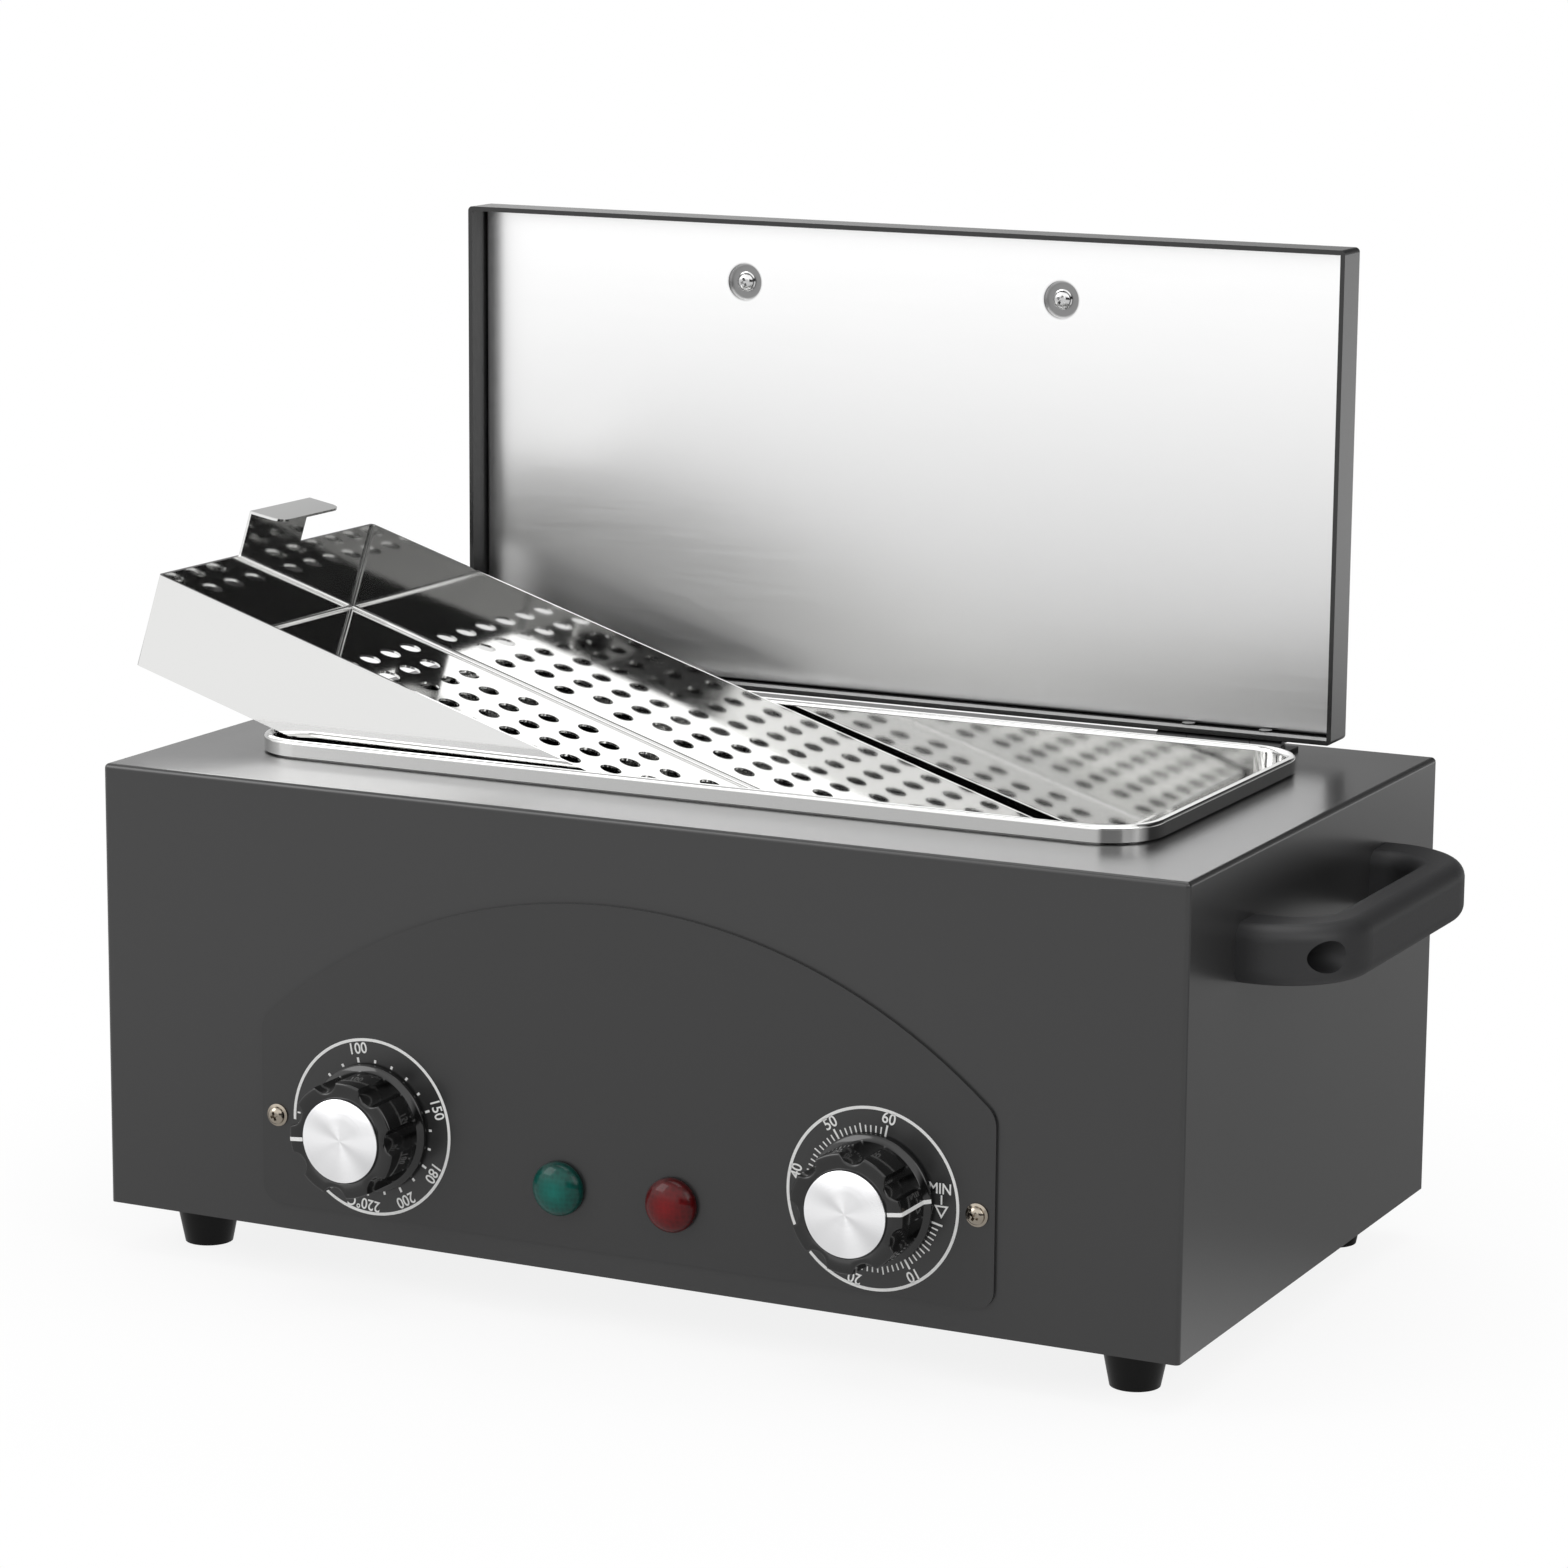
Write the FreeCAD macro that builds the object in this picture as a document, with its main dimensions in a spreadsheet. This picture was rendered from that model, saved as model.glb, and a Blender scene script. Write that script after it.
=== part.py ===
import FreeCAD, Part
import math
import os
import re
import Sketcher

# Bench-top dry heat sterilizer, in millimetres. The origin is on the bench under the middle of the case,
# the front faces -Y and +Z is up. The lid is modelled open, upright on its hinges, and the loose tray is
# modelled propped: its low end on the floor of the well, its raised end out over the rim.

doc = FreeCAD.newDocument("dry_heat_sterilizer")
sheet = doc.addObject("Spreadsheet::Sheet", "sizes")
aliases = []
parts = []


def to_sheet(names):
    """Write the sizes named since the last call into the sheet, one row each: name and plain number."""
    for alias, number in list(names.items()):
        if "_" in alias and isinstance(number, (int, float)) and alias not in aliases:
            row = len(aliases) + 1
            sheet.set("A%d" % row, alias.replace("_", " "))
            sheet.set("B%d" % row, str(number))
            sheet.setAlias("B%d" % row, alias)
            aliases.append(alias)
    doc.recompute()


def linked(formula):
    """The same formula with each size written as a cell of the sheet."""
    return re.sub(r"[a-z][a-z0-9_]*",
                  lambda word: "sizes." + word[0] if word[0] in aliases else word[0], formula)


def value(formula):
    """The present value of a formula of sizes."""
    result = sheet.evalExpression(re.sub(r"sizes\.", "", linked(formula)))
    return float(getattr(result, "Value", result))


def bind(thing, prop, formula):
    thing.setExpression(prop, linked(str(formula)))


def new_body(name):
    body = doc.addObject("PartDesign::Body", name)
    body.Label = name
    parts.append(body)
    return body


def new_sketch(body, plane, offset="0"):
    """A sketch on one of the body's own origin planes, moved along that plane's normal by offset."""
    sketch = body.newObject("Sketcher::SketchObject", body.Name + "_sketch")
    origin_plane = [f for f in body.Origin.OriginFeatures if f.Role == plane][0]
    sketch.AttachmentSupport = [(origin_plane, "")]
    sketch.MapMode = "FlatFace"
    bind(sketch, "AttachmentOffset.Base.z", offset)
    doc.recompute()
    return sketch


def pin_point(sketch, curve, vertex, across, up):
    """Hold one point of a sketch at a formula of sizes, measured from the sketch's origin."""
    for kind, formula in (("DistanceX", across), ("DistanceY", up)):
        number = sketch.addConstraint(Sketcher.Constraint(kind, -1, 1, curve, vertex, value(formula)))
        bind(sketch, "Constraints[%d]" % number, formula)


def draw_circle(sketch, across, up, radius):
    place = FreeCAD.Vector(value(across), value(up), 0)
    curve = sketch.addGeometry(Part.Circle(place, FreeCAD.Vector(0, 0, 1), value(radius)))
    number = sketch.addConstraint(Sketcher.Constraint("Radius", curve, value(radius)))
    bind(sketch, "Constraints[%d]" % number, radius)
    pin_point(sketch, curve, 3, across, up)


def draw_polygon(sketch, points):
    """A closed outline of straight lines through points, each a pair of formulas."""
    places = [FreeCAD.Vector(value(across), value(up), 0) for across, up in points]
    lines = []
    for start, end in zip(places, places[1:] + places[:1]):
        lines.append(sketch.addGeometry(Part.LineSegment(start, end)))
    for line, following in zip(lines, lines[1:] + lines[:1]):
        sketch.addConstraint(Sketcher.Constraint("Coincident", line, 2, following, 1))
    for line, (across, up) in zip(lines, points):
        pin_point(sketch, line, 1, across, up)


def draw_box(sketch, left, low, right, high):
    draw_polygon(sketch, [(left, low), (right, low), (right, high), (left, high)])


def centred_box(sketch, width, height, across="0", up="0"):
    draw_box(sketch, "(%s) - (%s) / 2" % (across, width), "(%s) - (%s) / 2" % (up, height),
             "(%s) + (%s) / 2" % (across, width), "(%s) + (%s) / 2" % (up, height))


def rounded_box(sketch, width, height, radius, across="0", up="0"):
    """A centred rectangle whose corners are arcs, each held by its centre and radius."""
    arcs = []
    for number, (side, level) in enumerate((("+", "+"), ("-", "+"), ("-", "-"), ("+", "-"))):
        x = "(%s) %s ((%s) / 2 - (%s))" % (across, side, width, radius)
        y = "(%s) %s ((%s) / 2 - (%s))" % (up, level, height, radius)
        whole = Part.Circle(FreeCAD.Vector(value(x), value(y), 0), FreeCAD.Vector(0, 0, 1), value(radius))
        quarter = math.pi / 2
        arcs.append(sketch.addGeometry(Part.ArcOfCircle(whole, number * quarter, (number + 1) * quarter)))
        held = sketch.addConstraint(Sketcher.Constraint("Radius", arcs[-1], value(radius)))
        bind(sketch, "Constraints[%d]" % held, radius)
        pin_point(sketch, arcs[-1], 3, x, y)
    for arc, following in zip(arcs, arcs[1:] + arcs[:1]):
        start = sketch.Geometry[arc].EndPoint
        end = sketch.Geometry[following].StartPoint
        line = sketch.addGeometry(Part.LineSegment(start, end))
        sketch.addConstraint(Sketcher.Constraint("Tangent", arc, 2, line, 1))
        sketch.addConstraint(Sketcher.Constraint("Tangent", line, 2, following, 1))


def solid_feature(body, kind, sketch, formulas, **settings):
    feature = body.newObject("PartDesign::" + kind, body.Name + "_" + kind.lower())
    if kind in ("Pad", "Pocket", "Revolution", "Groove"):
        feature.Profile = sketch
    for prop, setting in settings.items():
        setattr(feature, prop, setting)
    for prop, formula in formulas.items():
        bind(feature, prop, formula)
    body.Tip = feature
    doc.recompute()
    return feature


def pad(body, sketch, length, reverse=False):
    return solid_feature(body, "Pad", sketch, {"Length": length}, Reversed=reverse)


def middle_pad(body, sketch, length):
    return solid_feature(body, "Pad", sketch, {"Length": length}, Midplane=True)


def pocket(body, sketch, depth, reverse=False):
    """Cut a sketch into the body, and make sure that it takes material away."""
    before = body.Shape.Volume
    cut = solid_feature(body, "Pocket", sketch, {"Length": depth}, Reversed=reverse)
    if not body.Shape.Volume < before:
        raise RuntimeError("a pocket in %s cuts nothing" % body.Label)
    return cut


def revolve(body, sketch, axis="V_Axis"):
    return solid_feature(body, "Revolution", sketch, {}, ReferenceAxis=(sketch, [axis]), Angle=360)


def edges_where(shape, test):
    return ["Edge%d" % (i + 1) for i, edge in enumerate(shape.Edges) if test(edge)]


def round_edges(body, radius, test, chamfer=False):
    """Round, or chamfer, the edges of the body that pass the test."""
    base = body.Tip
    names = edges_where(base.Shape, test)
    kind = "Chamfer" if chamfer else "Fillet"
    feature = body.newObject("PartDesign::" + kind, body.Name + "_" + kind.lower())
    feature.Base = (base, names)
    bind(feature, "Size" if chamfer else "Radius", radius)
    body.Tip = feature
    doc.recompute()
    return feature


def along(edge, axis):
    """True for a straight edge that runs along the axis 0, 1 or 2."""
    if len(edge.Vertexes) < 2 or not isinstance(edge.Curve, (Part.Line, Part.LineSegment)):
        return False
    step = edge.Vertexes[-1].Point - edge.Vertexes[0].Point
    return abs(abs(step[axis]) - step.Length) < flat_limit


def at(edge, axis, formula):
    """True where the whole edge lies at one height of the axis."""
    box = edge.BoundBox
    low = (box.XMin, box.YMin, box.ZMin)[axis]
    high = (box.XMax, box.YMax, box.ZMax)[axis]
    return abs(low - value(formula)) < flat_limit and abs(high - value(formula)) < flat_limit


def code_part(name, shape):
    """A sub-part whose shape is made with Part's functions from the sizes in the sheet."""
    feature = doc.addObject("Part::Feature", name)
    feature.Label = name
    feature.Shape = shape
    parts.append(feature)
    return feature


def cylinder(start, axis, radius, length):
    return Part.makeCylinder(value(radius), value(length), FreeCAD.Vector(*start), FreeCAD.Vector(*axis))


def turned_body(name, outline, place, turn=FreeCAD.Rotation()):
    """A body of revolution from (radius, height) formulas, its own axis set along Z and then turned."""
    body = new_body(name)
    profile = new_sketch(body, "XZ_Plane")
    draw_polygon(profile, outline)
    revolve(body, profile)
    put(body, place, turn)
    return body


def put(body, place, turn=FreeCAD.Rotation()):
    """Set a body's placement: a turn, and three formulas for its origin."""
    body.Placement = FreeCAD.Placement(FreeCAD.Vector(), turn)
    for letter, formula in zip("xyz", place):
        bind(body, "Placement.Base." + letter, formula)
    doc.recompute()


def turned_copy(name, source, placement):
    """A second solid of the same form, placed elsewhere."""
    return code_part(name, source.Shape.transformed(placement.toMatrix(), True))


def pan_screw(start, axis, shank, head, head_height, length):
    """A screw whose head's underside is at start, and whose shank runs from there along axis."""
    back = FreeCAD.Vector(*axis) * -1
    pan = cylinder(start, back, head + " / 2", head_height)
    crown = value(head_height) * pan_crown_share
    rim = [e for e in pan.Edges if e.BoundBox.Center.distanceToPoint(FreeCAD.Vector(*start)) > crown
           and e.Closed]
    pan = pan.makeChamfer(crown, rim)
    return pan.fuse(cylinder(start, axis, "(%s) / 2" % shank, length))


def hex_nut(start, axis, across_flats, bore, height):
    """A nut that stands on start and rises along axis."""
    direction = FreeCAD.Vector(*axis)
    turn = FreeCAD.Rotation(FreeCAD.Vector(0, 0, 1), direction)
    reach = value(across_flats) / math.sqrt(3)
    corners = [FreeCAD.Vector(reach * math.cos(k * math.pi / 3), reach * math.sin(k * math.pi / 3), 0)
               for k in range(7)]
    corners = [turn.multVec(corner) + FreeCAD.Vector(*start) for corner in corners]
    block = Part.Face(Part.makePolygon(corners)).extrude(direction * value(height))
    return block.cut(cylinder(start, axis, bore, height))


pan_crown_share = 0.5
near_share = 0.001
forward = FreeCAD.Rotation(FreeCAD.Vector(1, 0, 0), 90)
backward = FreeCAD.Rotation(FreeCAD.Vector(1, 0, 0), -90)

# Case: one folded and spot-welded sheet box, open below, painted. It stands on four feet.
case_width = 360  # outside width of the case
case_depth = 208  # outside depth of the case
case_height = 140  # height of the case without feet
case_lift = 15  # height of the case's lower edge over the bench
case_gauge = 1.2  # sheet of the case
case_bend = 1.5  # outside radius of a fold
well_length = 295.6  # inside length of the well
well_breadth = 133.6  # inside breadth of the well
well_depth = 66  # from the rim's top to the floor of the well
well_gauge = 0.8  # sheet of the well
well_corner = 15  # inside radius of the well's upright corners
well_floor_round = 2.5  # inside radius round the well's floor
rim_reach = 3.2  # how far the rim stands out from the well's inside
rim_drop = 5.0  # height of the rim's turned-down edge
rim_gap = 0.6  # rim's lower edge over the top of the case
rim_round = 1.2  # radius of the rim's outer edge
rim_inner_round = 1.6  # radius of the rim's inner edge
seat_gap = 0.3  # gap between fitted sheets
dial_span = 168.4  # between the two knob shafts
dial_height = 36.5  # knob shafts over the case's lower edge
shaft_hole = 8.4  # hole for a knob shaft
lamp_span = 38  # between the two lamps
lamp_height = 26  # lamps over the case's lower edge
lamp_hole = 12.6  # hole for a lamp holder
panel_screw_span = 235  # between the panel's screws
panel_screw_height = 36.2  # panel's screws over the case's lower edge
panel_screw_hole = 4.4  # hole for a panel screw
handle_spacing = 112  # between the screws of one handle
handle_height = 112  # side handle's middle over the case's lower edge
handle_shift = -2  # side handle's middle from the case's middle, along Y
handle_screw_hole = 5.6  # hole for a handle screw
gland_hole = 12.4  # hole for the cord gland
gland_across = -120  # cord gland from the case's middle, along X
gland_height = 26  # cord gland over the case's lower edge
hinge_span = 233  # between the middles of the two hinges
hinge_back = 79.8  # hinge axis behind the middle of the case
barrel_diameter = 4.8  # outside diameter of a knuckle
rivet_setback = 5.6  # rivets behind the hinge axis
rivet_span = 26  # between the two rivets of a leaf
rivet_shank = 2.6  # diameter of a rivet's shank
rivet_play = 0.1  # room round a rivet's shank
device_screw = 3  # shank of a screw that holds the thermostat or the timer
device_screw_span = 28  # between the two screws of one device
edge_screw = 3.5  # shank of a screw through the bottom plate's edge
edge_screw_span = 280  # between the two screws of the rear edge
edge_screw_height = 5  # edge screws over the case's lower edge
screw_play = 0.3  # room round a screw's shank
to_sheet(globals())
flat_limit = value("case_gauge") * near_share
top = "(case_lift + case_height)"
rim_top = "(case_lift + case_height + rim_gap + rim_drop)"
well_floor = "(case_lift + case_height + rim_gap + rim_drop - well_depth)"
front = "(-case_depth / 2)"

housing = new_body("housing")
outline = new_sketch(housing, "XY_Plane", "case_lift")
centred_box(outline, "case_width", "case_depth")
pad(housing, outline, "case_height")
round_edges(housing, "case_bend", lambda e: along(e, 2) or (at(e, 2, top) and len(e.Vertexes) == 2))
hollow = new_sketch(housing, "XY_Plane", "case_lift")
centred_box(hollow, "case_width - 2 * case_gauge", "case_depth - 2 * case_gauge")
pocket(housing, hollow, "case_height - case_gauge", reverse=True)
mouth = new_sketch(housing, "XY_Plane", top)
rounded_box(mouth, "well_length + 2 * well_gauge + 2 * seat_gap",
            "well_breadth + 2 * well_gauge + 2 * seat_gap",
            "well_corner + well_gauge + seat_gap")
pocket(housing, mouth, "2 * case_gauge")
face_holes = new_sketch(housing, "XZ_Plane", "case_depth / 2")
for side in ("-", ""):
    draw_circle(face_holes, side + "dial_span / 2", "case_lift + dial_height", "shaft_hole / 2")
    draw_circle(face_holes, side + "lamp_span / 2", "case_lift + lamp_height", "lamp_hole / 2")
    draw_circle(face_holes, side + "panel_screw_span / 2", "case_lift + panel_screw_height",
                "panel_screw_hole / 2")
    for level in ("-", "+"):
        draw_circle(face_holes, side + "dial_span / 2",
                    "case_lift + dial_height %s device_screw_span / 2" % level,
                    "device_screw / 2 + screw_play")
pocket(housing, face_holes, "2 * case_gauge")
side_holes = new_sketch(housing, "YZ_Plane", "case_width / 2")
for side in ("-", "+"):
    draw_circle(side_holes, "handle_shift %s handle_spacing / 2" % side, "case_lift + handle_height",
                "handle_screw_hole / 2")
pocket(housing, side_holes, "case_width")
rear_hole = new_sketch(housing, "XZ_Plane", "-case_depth / 2")
draw_circle(rear_hole, "gland_across", "case_lift + gland_height", "gland_hole / 2")
for side in ("-", ""):
    draw_circle(rear_hole, side + "edge_screw_span / 2", "case_lift + edge_screw_height",
                "edge_screw / 2 + screw_play")
pocket(housing, rear_hole, "2 * case_gauge", reverse=True)
hinge_holes = new_sketch(housing, "XY_Plane", top)
for hinge_side in ("-", ""):
    for rivet_side in ("-", "+"):
        draw_circle(hinge_holes, "%shinge_span / 2 %s rivet_span / 2" % (hinge_side, rivet_side),
                    "hinge_back + rivet_setback", "rivet_shank / 2 + rivet_play")
pocket(housing, hinge_holes, "2 * case_gauge")

# Bottom plate: a flanged tray of sheet inside the case's lower edge, with vent slots under the heater.
plate_gauge = 1.0  # sheet of the bottom plate
plate_flange = 10  # height of its turned-up edge
vent_length = 40  # length of a vent slot
vent_width = 4  # width of a vent slot
vent_pitch = 12  # from one vent slot to the next
vent_count = 7  # vent slots in a row
foot_top = 21  # diameter of a foot where it meets the case
foot_low = 15  # diameter of a foot on the bench
foot_inset_x = 22  # foot's middle inside the case's side
foot_inset_y = 22  # foot's middle inside the case's front or rear
foot_screw = 4  # shank of a foot's screw
foot_screw_head = 8  # head of a foot's screw
foot_sink = 9  # depth of the foot's counterbore
foot_play = 0.2  # room round a foot's screw
to_sheet(globals())
bottom_plate = new_body("bottom_plate")
outline = new_sketch(bottom_plate, "XY_Plane", "case_lift")
centred_box(outline, "case_width - 2 * case_gauge - 2 * seat_gap",
            "case_depth - 2 * case_gauge - 2 * seat_gap")
pad(bottom_plate, outline, "plate_flange")
inside = new_sketch(bottom_plate, "XY_Plane", "case_lift + plate_gauge")
centred_box(inside, "case_width - 2 * case_gauge - 2 * seat_gap - 2 * plate_gauge",
            "case_depth - 2 * case_gauge - 2 * seat_gap - 2 * plate_gauge")
pocket(bottom_plate, inside, "plate_flange", reverse=True)
foot_holes = new_sketch(bottom_plate, "XY_Plane", "case_lift")
for across in ("-", ""):
    for back in ("-", ""):
        draw_circle(foot_holes, "%s(case_width / 2 - foot_inset_x)" % across,
                    "%s(case_depth / 2 - foot_inset_y)" % back, "foot_screw / 2 + foot_play")
pocket(bottom_plate, foot_holes, "2 * plate_gauge", reverse=True)
flange_holes = new_sketch(bottom_plate, "XZ_Plane", "-case_depth / 2")
for side in ("-", ""):
    draw_circle(flange_holes, side + "edge_screw_span / 2", "case_lift + edge_screw_height",
                "edge_screw / 2 + screw_play")
pocket(bottom_plate, flange_holes, "2 * (case_gauge + plate_gauge)", reverse=True)
vent = new_sketch(bottom_plate, "XY_Plane", "case_lift")
centred_box(vent, "vent_width", "vent_length", "-vent_pitch * (vent_count - 1) / 2")
slot = pocket(bottom_plate, vent, "2 * plate_gauge", reverse=True)
row_of_slots = bottom_plate.newObject("PartDesign::LinearPattern", "vent_row")
row_of_slots.Originals = [slot]
row_of_slots.Direction = (vent, ["H_Axis"])
bind(row_of_slots, "Length", "vent_pitch * (vent_count - 1)")
bind(row_of_slots, "Occurrences", "vent_count")
bottom_plate.Tip = row_of_slots
doc.recompute()

# Feet: turned rubber cones with a counterbore for their screw, and one pan-head screw each.
foot = turned_body("foot_front_left", [
    ("foot_screw / 2 + foot_play", "foot_sink"),
    ("foot_screw_head / 2 + foot_play", "foot_sink"),
    ("foot_screw_head / 2 + foot_play", "0"),
    ("foot_low / 2", "0"),
    ("foot_top / 2", "case_lift"),
    ("foot_screw / 2 + foot_play", "case_lift"),
], ("-(case_width / 2 - foot_inset_x)", "-(case_depth / 2 - foot_inset_y)", "0"))
stride = value("case_width - 2 * foot_inset_x")
setback = value("case_depth - 2 * foot_inset_y")
for name, dx, dy in (("foot_front_right", stride, 0), ("foot_rear_left", 0, setback),
                     ("foot_rear_right", stride, setback)):
    turned_copy(name, foot, FreeCAD.Placement(FreeCAD.Vector(dx, dy, 0), FreeCAD.Rotation()))
screw_head_height = 2.6  # height of a pan head
foot_screw_grip = 6  # foot's screw above the bottom plate
to_sheet(globals())


screws = []
for across in (-1, 1):
    for back in (-1, 1):
        seat = (across * stride / 2, back * setback / 2, value("foot_sink"))
        screws.append(pan_screw(seat, (0, 0, 1), "foot_screw", "(foot_screw_head - foot_play)",
                                "screw_head_height",
                                "case_lift - foot_sink + plate_gauge + foot_screw_grip"))
code_part("foot_screws", Part.makeCompound(screws))

# Well: a deep-drawn polished steel pan. Its edge is turned out and down over the opening of the case.
well = new_body("well_pan")
rim_plan = new_sketch(well, "XY_Plane", rim_top)
rounded_box(rim_plan, "well_length + 2 * rim_reach", "well_breadth + 2 * rim_reach",
            "well_corner + rim_reach")
pad(well, rim_plan, "rim_drop", reverse=True)
round_edges(well, "rim_round", lambda e: at(e, 2, rim_top))
under_rim = new_sketch(well, "XY_Plane", "%s - rim_drop" % rim_top)
rounded_box(under_rim, "well_length + 2 * rim_reach - 2 * well_gauge",
            "well_breadth + 2 * rim_reach - 2 * well_gauge",
            "well_corner + rim_reach - well_gauge")
pocket(well, under_rim, "rim_drop - well_gauge", reverse=True)
wall_plan = new_sketch(well, "XY_Plane", "%s - well_gauge" % rim_top)
rounded_box(wall_plan, "well_length + 2 * well_gauge", "well_breadth + 2 * well_gauge",
            "well_corner + well_gauge")
pad(well, wall_plan, "well_depth", reverse=True)
basin = new_sketch(well, "XY_Plane", rim_top)
rounded_box(basin, "well_length", "well_breadth", "well_corner")
pocket(well, basin, "well_depth")
round_edges(well, "well_floor_round", lambda e: at(e, 2, well_floor))


def at_opening(edge):
    """True for an edge of the well's upper opening."""
    box = edge.BoundBox
    inside_x = max(-box.XMin, box.XMax) < value("well_length / 2") + flat_limit
    inside_y = max(-box.YMin, box.YMax) < value("well_breadth / 2") + flat_limit
    return at(edge, 2, rim_top) and inside_x and inside_y


round_edges(well, "rim_inner_round", at_opening)
round_edges(well, "well_floor_round + well_gauge", lambda e: at(e, 2, "%s - well_gauge" % well_floor))

# Insulation: a blanket wrapped round the four walls of the well, under the case's top.
wrap_thickness = 12  # thickness of the insulation blanket
wrap_low = 97  # height of the blanket's lower edge over the bench
to_sheet(globals())
wrap = new_body("well_insulation")
wrap_plan = new_sketch(wrap, "XY_Plane", "wrap_low")
rounded_box(wrap_plan, "well_length + 2 * (well_gauge + seat_gap + wrap_thickness)",
            "well_breadth + 2 * (well_gauge + seat_gap + wrap_thickness)",
            "well_corner + well_gauge + seat_gap + wrap_thickness")
pad(wrap, wrap_plan, "%s - case_gauge - seat_gap - wrap_low" % top)
wrap_hollow = new_sketch(wrap, "XY_Plane", "wrap_low")
rounded_box(wrap_hollow, "well_length + 2 * (well_gauge + seat_gap)",
            "well_breadth + 2 * (well_gauge + seat_gap)",
            "well_corner + well_gauge + seat_gap")
pocket(wrap, wrap_hollow, "case_height", reverse=True)

# Heater: a sheathed tube bent to a U under the well's floor, held up by two bars on welded studs.
tube_diameter = 6.5  # diameter of the heater tube
tube_end = 120  # heater's ends from the well's middle, along X
tube_bend = 35  # radius of the heater's U bend
tube_straight = 75  # start of the U bend from the well's middle, along X
pin_diameter = 3  # diameter of a heater terminal
pin_length = 9  # length of a heater terminal
bar_length = 96  # length of a clamp bar
bar_width = 14  # width of a clamp bar
bar_gauge = 1.2  # sheet of a clamp bar
bar_span = 110  # between the two clamp bars
stud_diameter = 4  # diameter of a weld stud
stud_length = 13  # length of a weld stud
nut_flats = 7  # across the flats of an M4 nut
nut_height = 3.2  # height of an M4 nut
to_sheet(globals())
well_under = "(%s - well_gauge)" % well_floor
tube_axis = "(%s - seat_gap - tube_diameter / 2)" % well_under
bar_top = "(%s - 2 * seat_gap - tube_diameter)" % well_under
heater = new_body("heater_tube")
spine = new_sketch(heater, "XY_Plane", tube_axis)
ends = [("-tube_end", "-tube_bend"), ("tube_straight", "-tube_bend"), ("tube_straight", "tube_bend"),
        ("-tube_end", "tube_bend")]
places = [FreeCAD.Vector(value(across), value(up), 0) for across, up in ends]
first_run = spine.addGeometry(Part.LineSegment(places[0], places[1]))
bend = Part.Circle(FreeCAD.Vector(value("tube_straight"), 0, 0), FreeCAD.Vector(0, 0, 1),
                   value("tube_bend"))
u_bend = spine.addGeometry(Part.ArcOfCircle(bend, -math.pi / 2, math.pi / 2))
second_run = spine.addGeometry(Part.LineSegment(places[2], places[3]))
for curve, vertex, (across, up) in ((first_run, 1, ends[0]), (first_run, 2, ends[1]),
                                    (second_run, 1, ends[2]),
                                    (second_run, 2, ends[3])):
    pin_point(spine, curve, vertex, across, up)
spine.addConstraint(Sketcher.Constraint("Tangent", first_run, 2, u_bend, 1))
spine.addConstraint(Sketcher.Constraint("Coincident", u_bend, 2, second_run, 1))
tube_section = new_sketch(heater, "YZ_Plane", "-tube_end")
draw_circle(tube_section, "-tube_bend", tube_axis, "tube_diameter / 2")
pipe = heater.newObject("PartDesign::AdditivePipe", "heater_pipe")
pipe.Profile = tube_section
pipe.Spine = (spine, ["Edge1", "Edge2", "Edge3"])
heater.Tip = pipe
doc.recompute()
pins = new_sketch(heater, "YZ_Plane", "-tube_end")
draw_circle(pins, "-tube_bend", tube_axis, "pin_diameter / 2")
draw_circle(pins, "tube_bend", tube_axis, "pin_diameter / 2")
pad(heater, pins, "pin_length", reverse=True)

clamp = new_body("heater_clamp_left")
bar_plan = new_sketch(clamp, "XY_Plane", bar_top)
centred_box(bar_plan, "bar_width", "bar_length", "-bar_span / 2")
draw_circle(bar_plan, "-bar_span / 2", "0", "stud_diameter / 2 + screw_play")
pad(clamp, bar_plan, "bar_gauge", reverse=True)
span = FreeCAD.Vector(value("bar_span"), 0, 0)
turned_copy("heater_clamp_right", clamp, FreeCAD.Placement(span, FreeCAD.Rotation()))
studs = []
nuts = []
for side in (-1, 1):
    x = side * value("bar_span") / 2
    studs.append(cylinder((x, 0, value(well_under)), (0, 0, -1), "stud_diameter / 2", "stud_length"))
    nuts.append(hex_nut((x, 0, value(bar_top + " - bar_gauge")), (0, 0, -1), "nut_flats",
                        "stud_diameter / 2 + screw_play",
                        "nut_height"))
code_part("heater_studs", Part.makeCompound(studs))
code_part("heater_nuts", Part.makeCompound(nuts))

# Control panel: a plate on the case's front with straight shoulders and an arched crown.
panel_gauge = 1.0  # sheet of the control panel
panel_width = 246  # width of the control panel
panel_low = 8  # panel's lower edge over the case's lower edge
panel_shoulder = 66  # panel's shoulders over the case's lower edge
panel_crown = 114  # top of the panel's arch over the case's lower edge
panel_low_corner = 6  # radius of the panel's lower corners
panel_high_corner = 8  # radius of the panel's shoulders
panel_screw = 4  # shank of a panel screw
panel_screw_head = 7  # head of a panel screw
panel_screw_length = 9  # length of a panel screw's shank
device_head = 6  # head of a device screw, inside the panel's thickness
device_head_height = 0.9  # height of a device screw's head
device_screw_length = 7  # length of a device screw's shank
head_play = 0.4  # room round a device screw's head
to_sheet(globals())
panel = new_body("control_panel")
panel_plan = new_sketch(panel, "XZ_Plane", "case_depth / 2")
corners = [
    ("-panel_width / 2", "case_lift + panel_shoulder"),
    ("-panel_width / 2", "case_lift + panel_low"),
    ("panel_width / 2", "case_lift + panel_low"),
    ("panel_width / 2", "case_lift + panel_shoulder"),
]
places = [FreeCAD.Vector(value(across), value(up), 0) for across, up in corners]
sides = []
for start, end in zip(places, places[1:]):
    sides.append(panel_plan.addGeometry(Part.LineSegment(start, end)))
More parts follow.
